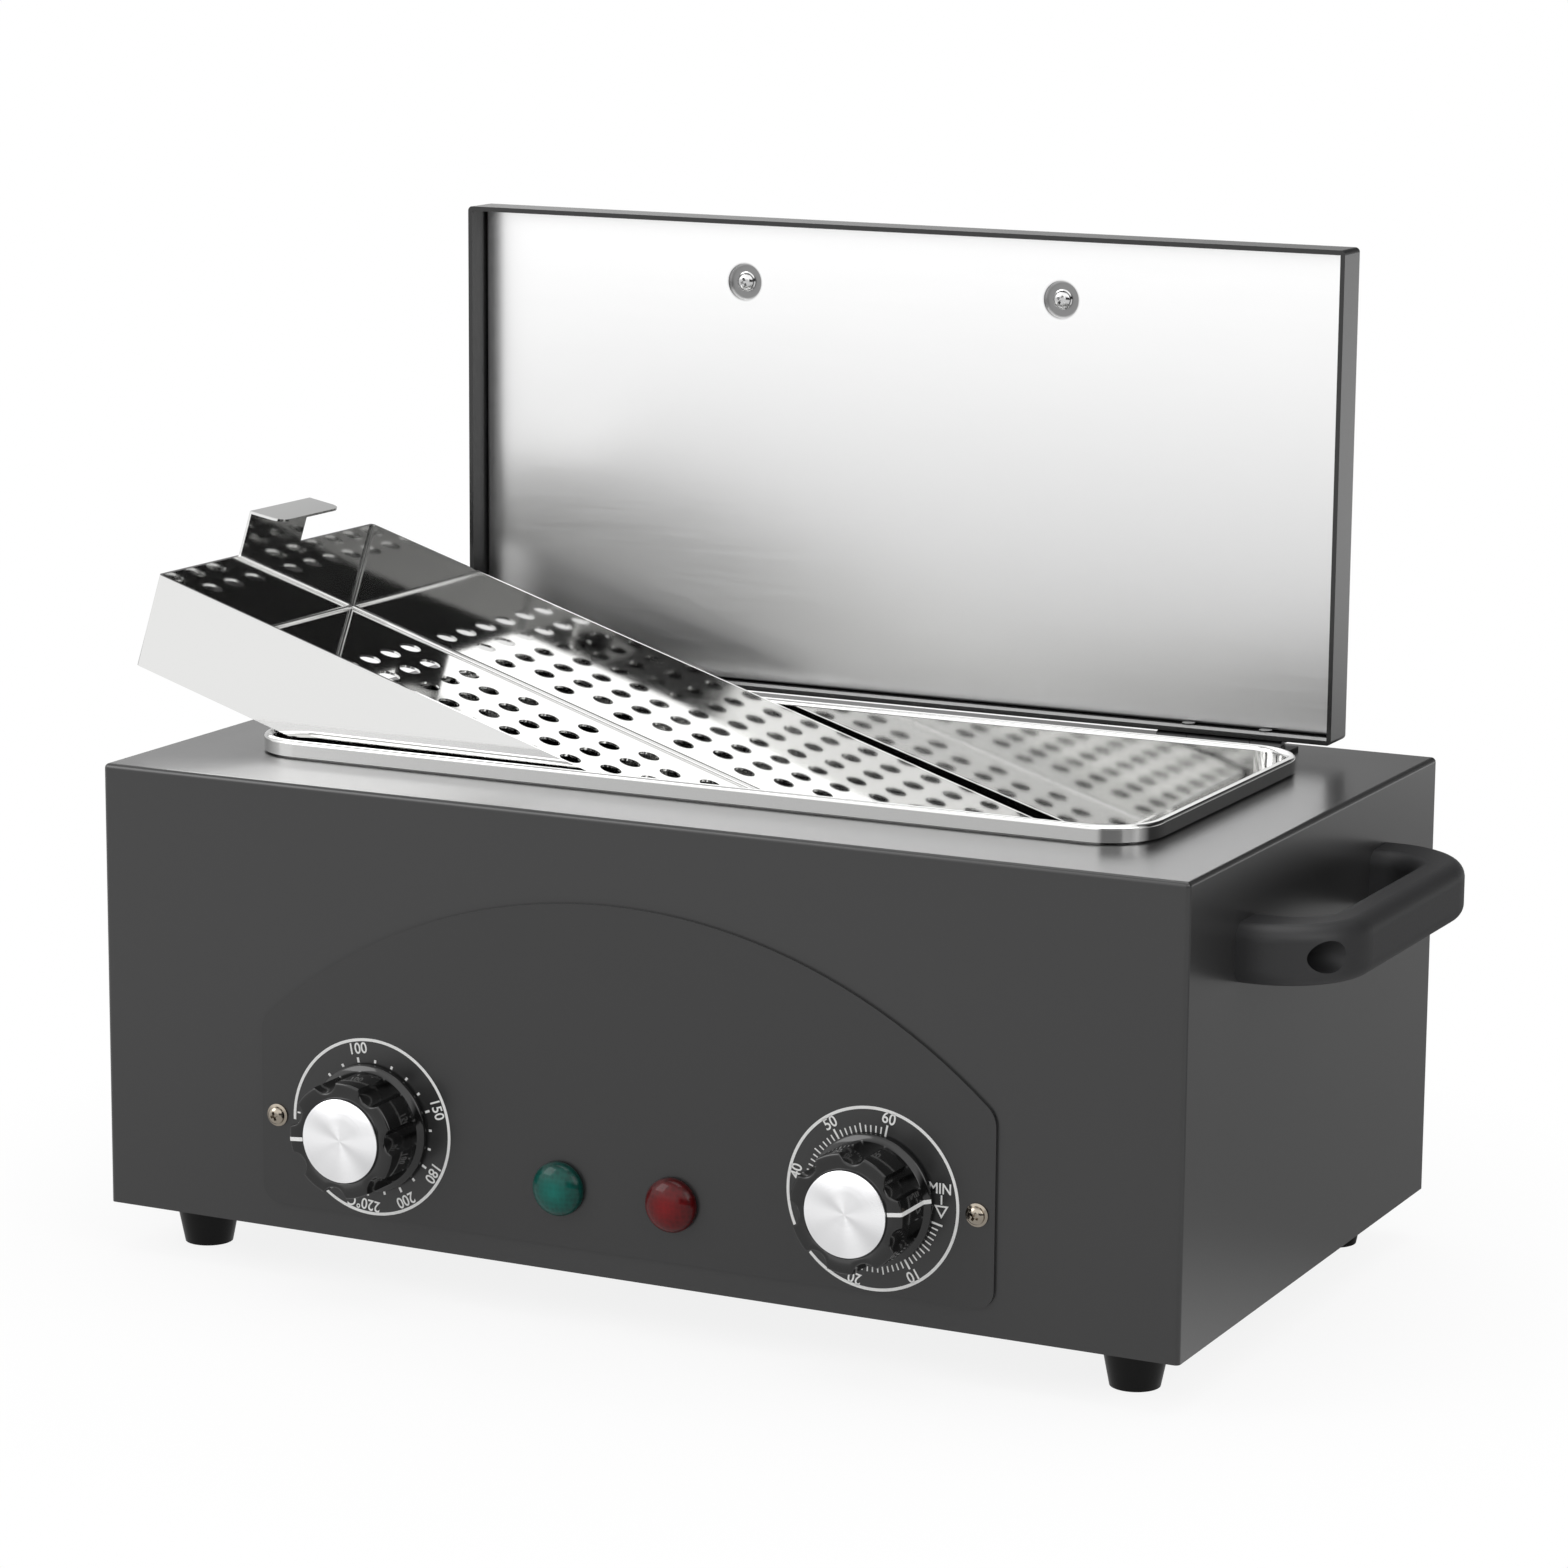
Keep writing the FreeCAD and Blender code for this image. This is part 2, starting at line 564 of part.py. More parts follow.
peak = FreeCAD.Vector(0, value("case_lift + panel_crown"), 0)
crown = panel_plan.addGeometry(Part.Arc(places[3], peak, places[0]))
for number, side in enumerate(sides):
    pin_point(panel_plan, side, 1, *corners[number])
pin_point(panel_plan, sides[2], 2, *corners[3])
panel_plan.addConstraint(Sketcher.Constraint("Coincident", sides[0], 2, sides[1], 1))
panel_plan.addConstraint(Sketcher.Constraint("Coincident", sides[1], 2, sides[2], 1))
panel_plan.addConstraint(Sketcher.Constraint("Coincident", sides[2], 2, crown, 1))
panel_plan.addConstraint(Sketcher.Constraint("Coincident", crown, 2, sides[0], 1))
crown_rise = "(panel_crown - panel_shoulder)"
crown_radius = "((panel_width / 2 * panel_width / 2 + %s * %s) / (2 * %s))" % (crown_rise, crown_rise,
                                                                               crown_rise)
held = panel_plan.addConstraint(Sketcher.Constraint("Radius", crown, value(crown_radius)))
bind(panel_plan, "Constraints[%d]" % held, crown_radius)
pad(panel, panel_plan, "panel_gauge")
round_edges(panel, "panel_low_corner", lambda e: along(e, 1) and at(e, 2, "case_lift + panel_low"))
round_edges(panel, "panel_high_corner", lambda e: along(e, 1) and at(e, 2, "case_lift + panel_shoulder"))
panel_holes = new_sketch(panel, "XZ_Plane", "case_depth / 2 + panel_gauge")
for side in ("-", ""):
    draw_circle(panel_holes, side + "dial_span / 2", "case_lift + dial_height", "shaft_hole / 2")
    draw_circle(panel_holes, side + "lamp_span / 2", "case_lift + lamp_height", "lamp_hole / 2")
    draw_circle(panel_holes, side + "panel_screw_span / 2", "case_lift + panel_screw_height",
                "panel_screw_hole / 2")
    for level in ("-", "+"):
        draw_circle(panel_holes, side + "dial_span / 2",
                    "case_lift + dial_height %s device_screw_span / 2" % level,
                    "device_head / 2 + head_play")
pocket(panel, panel_holes, "2 * panel_gauge")
panel_face = "(%s - panel_gauge)" % front
panel_screws = []
for side in (-1, 1):
    seat = (side * value("panel_screw_span") / 2, value(panel_face),
            value("case_lift + panel_screw_height"))
    panel_screws.append(pan_screw(seat, (0, 1, 0), "panel_screw", "panel_screw_head", "screw_head_height",
                                  "panel_screw_length"))
code_part("panel_screws", Part.makeCompound(panel_screws))

# Thermostat and timer: a box behind the case's front, a flatted shaft, a fluted knob and its spun cap.
thermostat_width = 36  # width and height of the thermostat's box
thermostat_depth = 18  # depth of the thermostat's box
timer_width = 50  # width and height of the timer's box
timer_depth = 32  # depth of the timer's box
device_corner = 3  # radius of a box's corners
shaft_diameter = 6  # diameter of a knob shaft
shaft_flat = 1.5  # depth of the flat on a shaft
shaft_flat_length = 10  # length of the flat on a shaft
shaft_room = 0.3  # room round a shaft
shaft_inside = 12  # length of a shaft inside its box
knob_gap = 0.6  # gap between knob and panel
knob_skirt = 39.6  # diameter of the knob's skirt
knob_skirt_height = 1.8  # height of the skirt's edge
knob_waist_height = 2.9  # height where the knob's body starts
knob_body = 36  # diameter of the knob's body
knob_shoulder = 16.8  # height of the knob's front shoulder
knob_face = 34.4  # diameter of the knob's front face
knob_height = 17.6  # height of the knob without its cap
cap_diameter = 26  # diameter of the cap
cap_thickness = 1.2  # thickness of the cap
cap_recess = 0.6  # depth of the cap's recess
knob_bore_depth = 12  # depth of the knob's bore
flute_radius = 4.3  # radius of a flute
flute_out = 19.4  # flute's centre from the knob's axis
flute_count = 7  # flutes round the knob
thermostat_pointer = 185  # angle of the thermostat's pointer at rest, from +X towards +Z
timer_pointer = 7  # angle of the timer's pointer at rest, from +X towards +Z
to_sheet(globals())
knob_back = "(%s - knob_gap)" % panel_face
dial_level = "case_lift + dial_height"


def device(name, side, width, depth):
    """The box behind the front, bored for its shaft and its two screws."""
    box = new_body(name)
    plan = new_sketch(box, "XZ_Plane", "case_depth / 2 - case_gauge")
    rounded_box(plan, width, width, "device_corner", side + "dial_span / 2", dial_level)
    pad(box, plan, depth, reverse=True)
    bores = new_sketch(box, "XZ_Plane", "case_depth / 2 - case_gauge")
    draw_circle(bores, side + "dial_span / 2", dial_level, "shaft_diameter / 2 + shaft_room")
    pocket(box, bores, "shaft_inside + shaft_room")
    threads = new_sketch(box, "XZ_Plane", "case_depth / 2 - case_gauge")
    for level in ("-", "+"):
        draw_circle(threads, side + "dial_span / 2", "%s %s device_screw_span / 2" % (dial_level, level),
                    "device_screw / 2")
    pocket(box, threads, "device_screw_length")
    return box


def device_screws(name, side):
    """Two screws through the case's front; their heads lie inside the thickness of the panel."""
    screws = []
    for level in (-1, 1):
        height = value(dial_level) + level * value("device_screw_span") / 2
        seat = (side * value("dial_span") / 2, value(front), height)
        head = cylinder(seat, (0, -1, 0), "device_head / 2", "device_head_height")
        screws.append(head.fuse(cylinder(seat, (0, 1, 0), "device_screw / 2", "device_screw_length")))
    code_part(name, Part.makeCompound(screws))


def shaft(name, side):
    """A round shaft with a flat at its front end, from inside the box to inside the knob."""
    rod = new_body(name)
    rod_plan = new_sketch(rod, "XZ_Plane", "case_depth / 2 - case_gauge - shaft_inside")
    draw_circle(rod_plan, side + "dial_span / 2", dial_level, "shaft_diameter / 2")
    reach = "shaft_inside + case_gauge + panel_gauge + knob_gap + knob_bore_depth - shaft_room"
    pad(rod, rod_plan, reach)
    flat = new_sketch(rod, "XZ_Plane", "case_depth / 2 - case_gauge - shaft_inside + " + reach)
    centred_box(flat, "shaft_diameter", "shaft_flat", side + "dial_span / 2",
                dial_level + " + shaft_diameter / 2 - shaft_flat / 2")
    pocket(rod, flat, "shaft_flat_length")


def knob(name, side, pointer):
    """A turned body with a skirt, cut by flutes; the pointer's line lies on a ridge between two flutes."""
    body = turned_body(name, [
        ("0", "knob_bore_depth"),
        ("shaft_diameter / 2 + shaft_room", "knob_bore_depth"),
        ("shaft_diameter / 2 + shaft_room", "0"),
        ("knob_skirt / 2", "0"),
        ("knob_skirt / 2", "knob_skirt_height"),
        ("knob_body / 2", "knob_waist_height"),
        ("knob_body / 2", "knob_shoulder"),
        ("knob_face / 2", "knob_height"),
        ("cap_diameter / 2 + shaft_room", "knob_height"),
        ("cap_diameter / 2 + shaft_room", "knob_height - cap_recess"),
        ("0", "knob_height - cap_recess"),
    ], (side + "dial_span / 2", knob_back, dial_level), forward)
    flute = new_sketch(body, "XY_Plane", "knob_height")
    aside = "(180 deg / flute_count + %s * 1 deg)" % pointer
    draw_circle(flute, "flute_out * cos(%s)" % aside, "flute_out * sin(%s)" % aside, "flute_radius")
    cut = pocket(body, flute, "knob_height - knob_waist_height")
    ring = body.newObject("PartDesign::PolarPattern", name + "_flutes")
    ring.Originals = [cut]
    ring.Axis = (flute, ["N_Axis"])
    ring.Angle = 360
    bind(ring, "Occurrences", "flute_count")
    body.Tip = ring
    doc.recompute()
    cap = turned_body(name.replace("knob", "cap"), [
        ("0", "knob_height - cap_recess"),
        ("cap_diameter / 2", "knob_height - cap_recess"),
        ("cap_diameter / 2", "knob_height - cap_recess + cap_thickness"),
        ("0", "knob_height - cap_recess + cap_thickness"),
    ], (side + "dial_span / 2", knob_back, dial_level), forward)
    round_edges(cap, "cap_thickness / 4",
                lambda e: at(e, 2, "knob_height - cap_recess + cap_thickness"), chamfer=True)


device("thermostat_body", "-", "thermostat_width", "thermostat_depth")
device_screws("thermostat_screws", -1)
shaft("thermostat_shaft", "-")
knob("thermostat_knob", "-", "thermostat_pointer")
device("timer_body", "", "timer_width", "timer_depth")
device_screws("timer_screws", 1)
shaft("timer_shaft", "")
knob("timer_knob", "", "timer_pointer")

# Thermostat bulb: a filled tube against the well's floor, joined to the thermostat by its capillary.
bulb_length = 90  # length of the bulb
bulb_aside = 12  # bulb's axis behind the middle of the well
capillary_diameter = 1.6  # diameter of the capillary
to_sheet(globals())
bulb_end = FreeCAD.Vector(-value("bulb_length / 2"), value("bulb_aside"), value(tube_axis))
bulb = cylinder(tuple(bulb_end), (1, 0, 0), "tube_diameter / 2", "bulb_length")
inlet = FreeCAD.Vector(-value("dial_span / 2"),
                       value("-case_depth / 2 + case_gauge + thermostat_depth"), value(dial_level))
turn_back = FreeCAD.Vector(0, value("thermostat_depth"), 0)
over_bar = FreeCAD.Vector(inlet.x, bulb_end.y, bulb_end.z)
route = Part.makePolygon([inlet, inlet + turn_back, over_bar, bulb_end])
ring = []
for corner in range(7):
    angle = corner * math.pi / 3
    spoke = FreeCAD.Vector(math.cos(angle), 0, math.sin(angle)) * value("capillary_diameter / 2")
    ring.append(inlet + spoke)
capillary = Part.Wire(route).makePipeShell([Part.makePolygon(ring)], True, True, 1)
code_part("thermostat_bulb", bulb.fuse(capillary))

# Lamps: a domed lens with a spigot through the panel, and a holder behind it.
lens_diameter = 16.5  # diameter of a lamp's lens
lens_edge = 2.2  # height of the lens's edge
lens_height = 5.4  # height of the lens
lens_top = 7  # diameter of the flat middle of the lens
lens_shoulder = 12.4  # diameter of the lens at its shoulder
lens_shoulder_height = 4.4  # height of the lens's shoulder
spigot_diameter = 11.8  # diameter of the lens's spigot
spigot_length = 12  # length of the lens's spigot
holder_diameter = 17  # outside diameter of a lamp holder
holder_length = 22  # length of a lamp holder
holder_wall = 2  # wall of a lamp holder's back
to_sheet(globals())
for colour, side in (("green", "-"), ("red", "")):
    turned_body("lamp_" + colour, [
        ("0", "-spigot_length"),
        ("spigot_diameter / 2", "-spigot_length"),
        ("spigot_diameter / 2", "0"),
        ("lens_diameter / 2", "0"),
        ("lens_diameter / 2", "lens_edge"),
        ("lens_shoulder / 2", "lens_shoulder_height"),
        ("lens_top / 2", "lens_height"),
        ("0", "lens_height"),
    ], (side + "lamp_span / 2", panel_face, "case_lift + lamp_height"), forward)
    turned_body("lamp_holder_" + colour, [
        ("0", "holder_length"),
        ("holder_diameter / 2", "holder_length"),
        ("holder_diameter / 2", "0"),
        ("spigot_diameter / 2 + shaft_room", "0"),
        ("spigot_diameter / 2 + shaft_room", "holder_length - holder_wall"),
        ("0", "holder_length - holder_wall"),
    ], (side + "lamp_span / 2", "%s + case_gauge" % front, "case_lift + lamp_height"), backward)

# Handles: one moulding used three times, on both sides of the case and on the lid.
handle_length = 132  # length of a handle
handle_reach = 31.5  # how far a handle stands out
handle_section = 18  # height of a handle's section
handle_grip = 14  # thickness of a handle's grip
handle_leg = 20  # width of a handle's leg
handle_corner = 28  # outside radius of a handle's corners
handle_inner_corner = 12  # inside radius of a handle's corners
handle_edge = 5  # radius of a handle's edges
handle_bore = 9.5  # diameter of the counterbore over a handle's screw
handle_seat = 12  # height of the counterbore's floor over the handle's foot
lid_width = 308  # outside width of the lid
lid_length = 154  # outside length of the lid from rear skirt to front skirt
lid_skirt = 14.4  # depth of the lid with its skirt
lid_gauge = 1.0  # sheet of the lid's shell
lid_edge_back = 78.0  # edge of the open lid's skirt behind the middle of the case
lid_base = 5.4  # open lid's rear skirt over the top of the case
lid_handle_up = 133  # lid handle's screws over the rear skirt
to_sheet(globals())
lid_low = "(%s + lid_base)" % top
lid_outer = "(lid_edge_back + lid_skirt)"
lid_handle_level = "(%s + lid_handle_up)" % lid_low
lid_handle = new_body("lid_handle")
handle_plan = new_sketch(lid_handle, "XY_Plane")
draw_polygon(handle_plan, [
    ("-handle_length / 2", "0"),
    ("-handle_length / 2", "handle_reach"),
    ("handle_length / 2", "handle_reach"),
    ("handle_length / 2", "0"),
    ("handle_length / 2 - handle_leg", "0"),
    ("handle_length / 2 - handle_leg", "handle_reach - handle_grip"),
    ("-handle_length / 2 + handle_leg", "handle_reach - handle_grip"),
    ("-handle_length / 2 + handle_leg", "0"),
])
middle_pad(lid_handle, handle_plan, "handle_section")
round_edges(lid_handle, "handle_corner", lambda e: along(e, 2) and at(e, 1, "handle_reach"))
round_edges(lid_handle, "handle_inner_corner", lambda e: along(e, 2)
            and at(e, 1, "handle_reach - handle_grip"))
round_edges(lid_handle, "handle_edge", lambda e: not along(e, 2) and not at(e, 1, "0"))
screw_bores = new_sketch(lid_handle, "XZ_Plane", "-handle_seat")
screw_holes = new_sketch(lid_handle, "XZ_Plane", "0")
for side in ("-", ""):
    draw_circle(screw_bores, side + "handle_spacing / 2", "0", "handle_bore / 2")
    draw_circle(screw_holes, side + "handle_spacing / 2", "0", "handle_screw_hole / 2")
pocket(lid_handle, screw_bores, "handle_reach")
pocket(lid_handle, screw_holes, "handle_seat")
moulding = lid_handle.Shape.copy()
put(lid_handle, ("0", lid_outer, lid_handle_level))
z_axis = FreeCAD.Vector(0, 0, 1)
for name, side in (("handle_left", -1), ("handle_right", 1)):
    handle = code_part(name, moulding.copy())
    put(handle, ("%d * case_width / 2" % side, "handle_shift", "case_lift + handle_height"),
        FreeCAD.Rotation(z_axis, -90 * side))

# Handle screws: M5 screws and nuts on the case, M4 screws and nuts on the lid.
side_screw = 5  # shank of a side handle's screw
side_screw_head = 8.5  # head of a side handle's screw
side_screw_length = 20  # length of a side handle's screw
side_nut_flats = 8  # across the flats of an M5 nut
side_nut_height = 4  # height of an M5 nut
lid_screw = 4  # shank of a lid handle's screw
lid_screw_head = 6.5  # head of a lid handle's screw
lid_screw_height = 2.2  # height of a lid handle's screw head
lid_screw_length = 20  # length of a lid handle's screw
liner_recess = 9.8  # lid's liner behind the edge of the skirt
liner_gauge = 0.8  # sheet of the liner
liner_turn = 3.3  # depth of the liner with its turned-back edge
dimple_diameter = 12  # diameter of the liner's dimple round a screw
dimple_depth = 1.6  # depth of the liner's dimple
to_sheet(globals())
screws = []
nuts = []
for side in (-1, 1):
    for end in (-1, 1):
        y = value("handle_shift") + end * value("handle_spacing") / 2
        z = value("case_lift + handle_height")
        screws.append(pan_screw((side * value("case_width / 2 + handle_seat"), y, z), (-side, 0, 0),
                                "side_screw",
                                "side_screw_head", "screw_head_height", "side_screw_length"))
        nuts.append(hex_nut((side * value("case_width / 2 - case_gauge"), y, z), (-side, 0, 0),
                            "side_nut_flats",
                            "side_screw / 2", "side_nut_height"))
code_part("side_handle_screws", Part.makeCompound(screws))
code_part("side_handle_nuts", Part.makeCompound(nuts))
screws = []
nuts = []
liner_seat = "(lid_edge_back + liner_recess + dimple_depth)"
for side in (-1, 1):
    x = side * value("handle_spacing") / 2
    screws.append(pan_screw((x, value(liner_seat), value(lid_handle_level)), (0, 1, 0), "lid_screw",
                            "lid_screw_head",
                            "lid_screw_height", "lid_screw_length"))
    nuts.append(hex_nut((x, value(lid_outer + " + handle_seat"), value(lid_handle_level)), (0, 1, 0),
                        "nut_flats",
                        "lid_screw / 2", "nut_height"))
code_part("lid_handle_screws", Part.makeCompound(screws))
code_part("lid_handle_nuts", Part.makeCompound(nuts))

# Lid: a painted shell with a hemmed skirt, a polished liner inside it and insulation between them.
hem_thickness = 1.5  # thickness of the skirt's hem
hem_depth = 5  # depth of the skirt's hem
lid_bend = 1.5  # outside radius of the shell's folds
liner_bend = 1.0  # outside radius of the liner's edge
sheet_room = 0.3  # room between the insulation and the sheets round it
liner_hole_play = 0.3  # room round a screw in the liner
to_sheet(globals())
lid_middle = "(%s + lid_length / 2)" % lid_low
shell = new_body("lid_shell")
shell_plan = new_sketch(shell, "XZ_Plane", "-" + lid_outer)
centred_box(shell_plan, "lid_width", "lid_length", "0", lid_middle)
pad(shell, shell_plan, "lid_skirt")
round_edges(shell, "lid_bend", lambda e: along(e, 1) or at(e, 1, lid_outer))
hem_opening = new_sketch(shell, "XZ_Plane", "-lid_edge_back")
centred_box(hem_opening, "lid_width - 2 * hem_thickness", "lid_length - 2 * hem_thickness", "0",
            lid_middle)
pocket(shell, hem_opening, "lid_skirt - lid_gauge")
shell_hollow = new_sketch(shell, "XZ_Plane", "-(lid_edge_back + hem_depth)")
centred_box(shell_hollow, "lid_width - 2 * lid_gauge", "lid_length - 2 * lid_gauge", "0", lid_middle)
pocket(shell, shell_hollow, "lid_skirt - lid_gauge - hem_depth")
shell_holes = new_sketch(shell, "XZ_Plane", "-lid_edge_back")
for side in ("-", ""):
    draw_circle(shell_holes, side + "handle_spacing / 2", lid_handle_level, "handle_screw_hole / 2")
pocket(shell, shell_holes, "2 * lid_skirt")
skirt_holes = new_sketch(shell, "XY_Plane", lid_low)
for hinge_side in ("-", ""):
    for rivet_side in ("-", "+"):
        draw_circle(skirt_holes, "%shinge_span / 2 %s rivet_span / 2" % (hinge_side, rivet_side),
                    "hinge_back + rivet_setback", "rivet_shank / 2 + rivet_play")
pocket(shell, skirt_holes, "2 * hem_thickness", reverse=True)

liner_face = "(lid_edge_back + liner_recess)"
liner = new_body("lid_liner")
liner_plan = new_sketch(liner, "XZ_Plane", "-(%s + liner_turn)" % liner_face)
centred_box(liner_plan, "lid_width - 2 * lid_gauge - 2 * seat_gap",
            "lid_length - 2 * lid_gauge - 2 * seat_gap", "0",
            lid_middle)
pad(liner, liner_plan, "liner_turn")
round_edges(liner, "liner_bend", lambda e: at(e, 1, liner_face))
liner_back = new_sketch(liner, "XZ_Plane", "-(%s + liner_turn)" % liner_face)
centred_box(liner_back, "lid_width - 2 * lid_gauge - 2 * seat_gap - 2 * liner_gauge",
            "lid_length - 2 * lid_gauge - 2 * seat_gap - 2 * liner_gauge", "0", lid_middle)
pocket(liner, liner_back, "liner_turn - liner_gauge", reverse=True)
dimple_backs = new_sketch(liner, "XZ_Plane", "-(%s + liner_gauge)" % liner_seat)
dimples = new_sketch(liner, "XZ_Plane", "-" + liner_face)
liner_holes = new_sketch(liner, "XZ_Plane", "-" + liner_face)
for side in ("-", ""):
    draw_circle(dimple_backs, side + "handle_spacing / 2", lid_handle_level,
                "dimple_diameter / 2 + liner_gauge")
    draw_circle(dimples, side + "handle_spacing / 2", lid_handle_level, "dimple_diameter / 2")
    draw_circle(liner_holes, side + "handle_spacing / 2", lid_handle_level,
                "lid_screw / 2 + liner_hole_play")
pad(liner, dimple_backs, "dimple_depth + liner_gauge / 2")
pocket(liner, dimples, "dimple_depth")
pocket(liner, liner_holes, "2 * liner_turn")

filling = new_body("lid_insulation")
filling_plan = new_sketch(filling, "XZ_Plane", "-(%s - lid_gauge - sheet_room)" % lid_outer)
centred_box(filling_plan, "lid_width - 2 * (lid_gauge + seat_gap + liner_gauge + sheet_room)",
            "lid_length - 2 * (lid_gauge + seat_gap + liner_gauge + sheet_room)", "0", lid_middle)
for side in ("-", ""):
    draw_circle(filling_plan, side + "handle_spacing / 2", lid_handle_level,
                "dimple_diameter / 2 + liner_gauge + sheet_room")
pad(filling, filling_plan, "lid_skirt - lid_gauge - liner_recess - liner_gauge - 2 * sheet_room")

# Hinges: two butt hinges. One leaf lies on the case, the other under the lid's rear skirt, and the heads of
# their rivets meet when the lid stands upright.
leaf_gauge = 1.2  # sheet of a hinge leaf
leaf_length = 42  # length of a hinge along its axis
leaf_reach = 14  # how far the case's leaf reaches behind the axis
lid_leaf_reach = 12.2  # how far the lid's leaf reaches behind the axis
middle_knuckle = 21  # length of the middle knuckle
knuckle_gap = 0.25  # gap between two knuckles
knuckle_clear = 0.4  # room between a knuckle and the other leaf
hinge_pin = 2  # diameter of the hinge pin
pin_room = 0.3  # room round the hinge pin
axis_height = 2.7  # hinge axis over the top of the case
rivet_head = 5  # diameter of a rivet's head
rivet_head_height = 1.4  # height of a rivet's head
rivet_tail = 4.2  # diameter of a rivet's closed end
rivet_tail_height = 0.8  # height of a rivet's closed end
to_sheet(globals())


def leaf_holes(leaf, side, level):
    holes = new_sketch(leaf, "XY_Plane", level)
    for rivet_side in ("-", "+"):
        draw_circle(holes, "%s %s rivet_span / 2" % (side, rivet_side), "hinge_back + rivet_setback",
                    "rivet_shank / 2 + rivet_play")
    pocket(leaf, holes, "leaf_gauge")


def knuckle(leaf, left, length):
    """A rolled knuckle round the hinge axis, from left on along X."""
    roll = new_sketch(leaf, "YZ_Plane", left)
    draw_circle(roll, "hinge_back", "%s + axis_height" % top, "barrel_diameter / 2")
    pad(leaf, roll, length)


def pin_bore(leaf, side):
    bore = new_sketch(leaf, "YZ_Plane", side + " - leaf_length")
    draw_circle(bore, "hinge_back", "%s + axis_height" % top, "hinge_pin / 2 + pin_room")
    pocket(leaf, bore, "2 * leaf_length", reverse=True)


for label, side in (("left", "-hinge_span / 2"), ("right", "hinge_span / 2")):
    inner = "(middle_knuckle / 2 + knuckle_gap)"
    near = "hinge_back + barrel_diameter / 2 + knuckle_clear"
    fixed = new_body("hinge_case_leaf_" + label)
    plate = new_sketch(fixed, "XY_Plane", top)
    draw_polygon(plate, [
        ("%s - leaf_length / 2" % side, "hinge_back"),
        ("%s - %s" % (side, inner), "hinge_back"),
        ("%s - %s" % (side, inner), near),
        ("%s + %s" % (side, inner), near),
        ("%s + %s" % (side, inner), "hinge_back"),
        ("%s + leaf_length / 2" % side, "hinge_back"),
        ("%s + leaf_length / 2" % side, "hinge_back + leaf_reach"),
        ("%s - leaf_length / 2" % side, "hinge_back + leaf_reach"),
    ])
    pad(fixed, plate, "leaf_gauge")
    knuckle(fixed, "%s - leaf_length / 2" % side, "leaf_length / 2 - " + inner)
    knuckle(fixed, "%s + %s" % (side, inner), "leaf_length / 2 - " + inner)
    pin_bore(fixed, side)
    leaf_holes(fixed, side, "%s + leaf_gauge" % top)
    moving = new_body("hinge_lid_leaf_" + label)
    plate = new_sketch(moving, "XY_Plane", "%s - leaf_gauge" % lid_low)
    draw_polygon(plate, [
        ("%s - leaf_length / 2" % side, near),
        ("%s - middle_knuckle / 2" % side, near),
        ("%s - middle_knuckle / 2" % side, "hinge_back"),
        ("%s + middle_knuckle / 2" % side, "hinge_back"),
        ("%s + middle_knuckle / 2" % side, near),
        ("%s + leaf_length / 2" % side, near),
        ("%s + leaf_length / 2" % side, "hinge_back + lid_leaf_reach"),
        ("%s - leaf_length / 2" % side, "hinge_back + lid_leaf_reach"),
    ])
    pad(moving, plate, "leaf_gauge")
    knuckle(moving, "%s - middle_knuckle / 2" % side, "middle_knuckle")
    pin_bore(moving, side)
    leaf_holes(moving, side, lid_low)
    pin = new_body("hinge_pin_" + label)
    pin_end = new_sketch(pin, "YZ_Plane", side + " - leaf_length / 2")
    draw_circle(pin_end, "hinge_back", "%s + axis_height" % top, "hinge_pin / 2")
    pad(pin, pin_end, "leaf_length")


def rivet(x, seat, up, stack):
    """A rivet whose head's underside is at seat; its shank runs through the stack to a closed end."""
    y = value("hinge_back + rivet_setback")
    head = cylinder((x, y, seat), (0, 0, up), "rivet_head / 2", "rivet_head_height")
    shank = cylinder((x, y, seat), (0, 0, -up), "rivet_shank / 2", stack)
    tail = cylinder((x, y, seat - up * value(stack)), (0, 0, -up), "rivet_tail / 2", "rivet_tail_height")
    return head.fuse(shank).fuse(tail)


case_rivets = []
lid_rivets = []
for hinge_side in (-1, 1):
    for rivet_side in (-1, 1):
        x = hinge_side * value("hinge_span") / 2 + rivet_side * value("rivet_span") / 2
        case_rivets.append(rivet(x, value(top + " + leaf_gauge"), 1, "leaf_gauge + case_gauge"))
        lid_rivets.append(rivet(x, value(lid_low + " - leaf_gauge"), -1, "leaf_gauge + lid_gauge"))
code_part("case_rivets", Part.makeCompound(case_rivets))
code_part("lid_rivets", Part.makeCompound(lid_rivets))

# Supply: the gland for the cord in the rear wall, its nut, the terminal block and the rear edge's screws.
gland_body = 11.8  # diameter of the gland through the wall
gland_flange = 18  # diameter of the gland's flange
gland_flange_height = 3  # thickness of the gland's flange
gland_nose = 14  # diameter of the gland's nose
gland_nose_height = 9  # height of the gland's nose over the wall
gland_inside = 9  # length of the gland inside the wall
cord_bore = 7  # diameter of the gland's bore
gland_nut = 17  # diameter of the gland's nut
gland_nut_height = 4  # height of the gland's nut
block_length = 44  # length of the terminal block
block_width = 20  # width of the terminal block
block_height = 15  # height of the terminal block
block_across = -60  # terminal block's middle along X
block_back = 78  # terminal block's middle along Y
block_pitch = 10  # from one pole to the next
block_well = 6  # diameter of the well over a terminal screw
block_well_depth = 8  # depth of the well over a terminal screw
edge_screw_head = 7  # head of an edge screw
edge_screw_length = 9  # length of an edge screw's shank
to_sheet(globals())
rear = "case_depth / 2"
gland_level = "case_lift + gland_height"
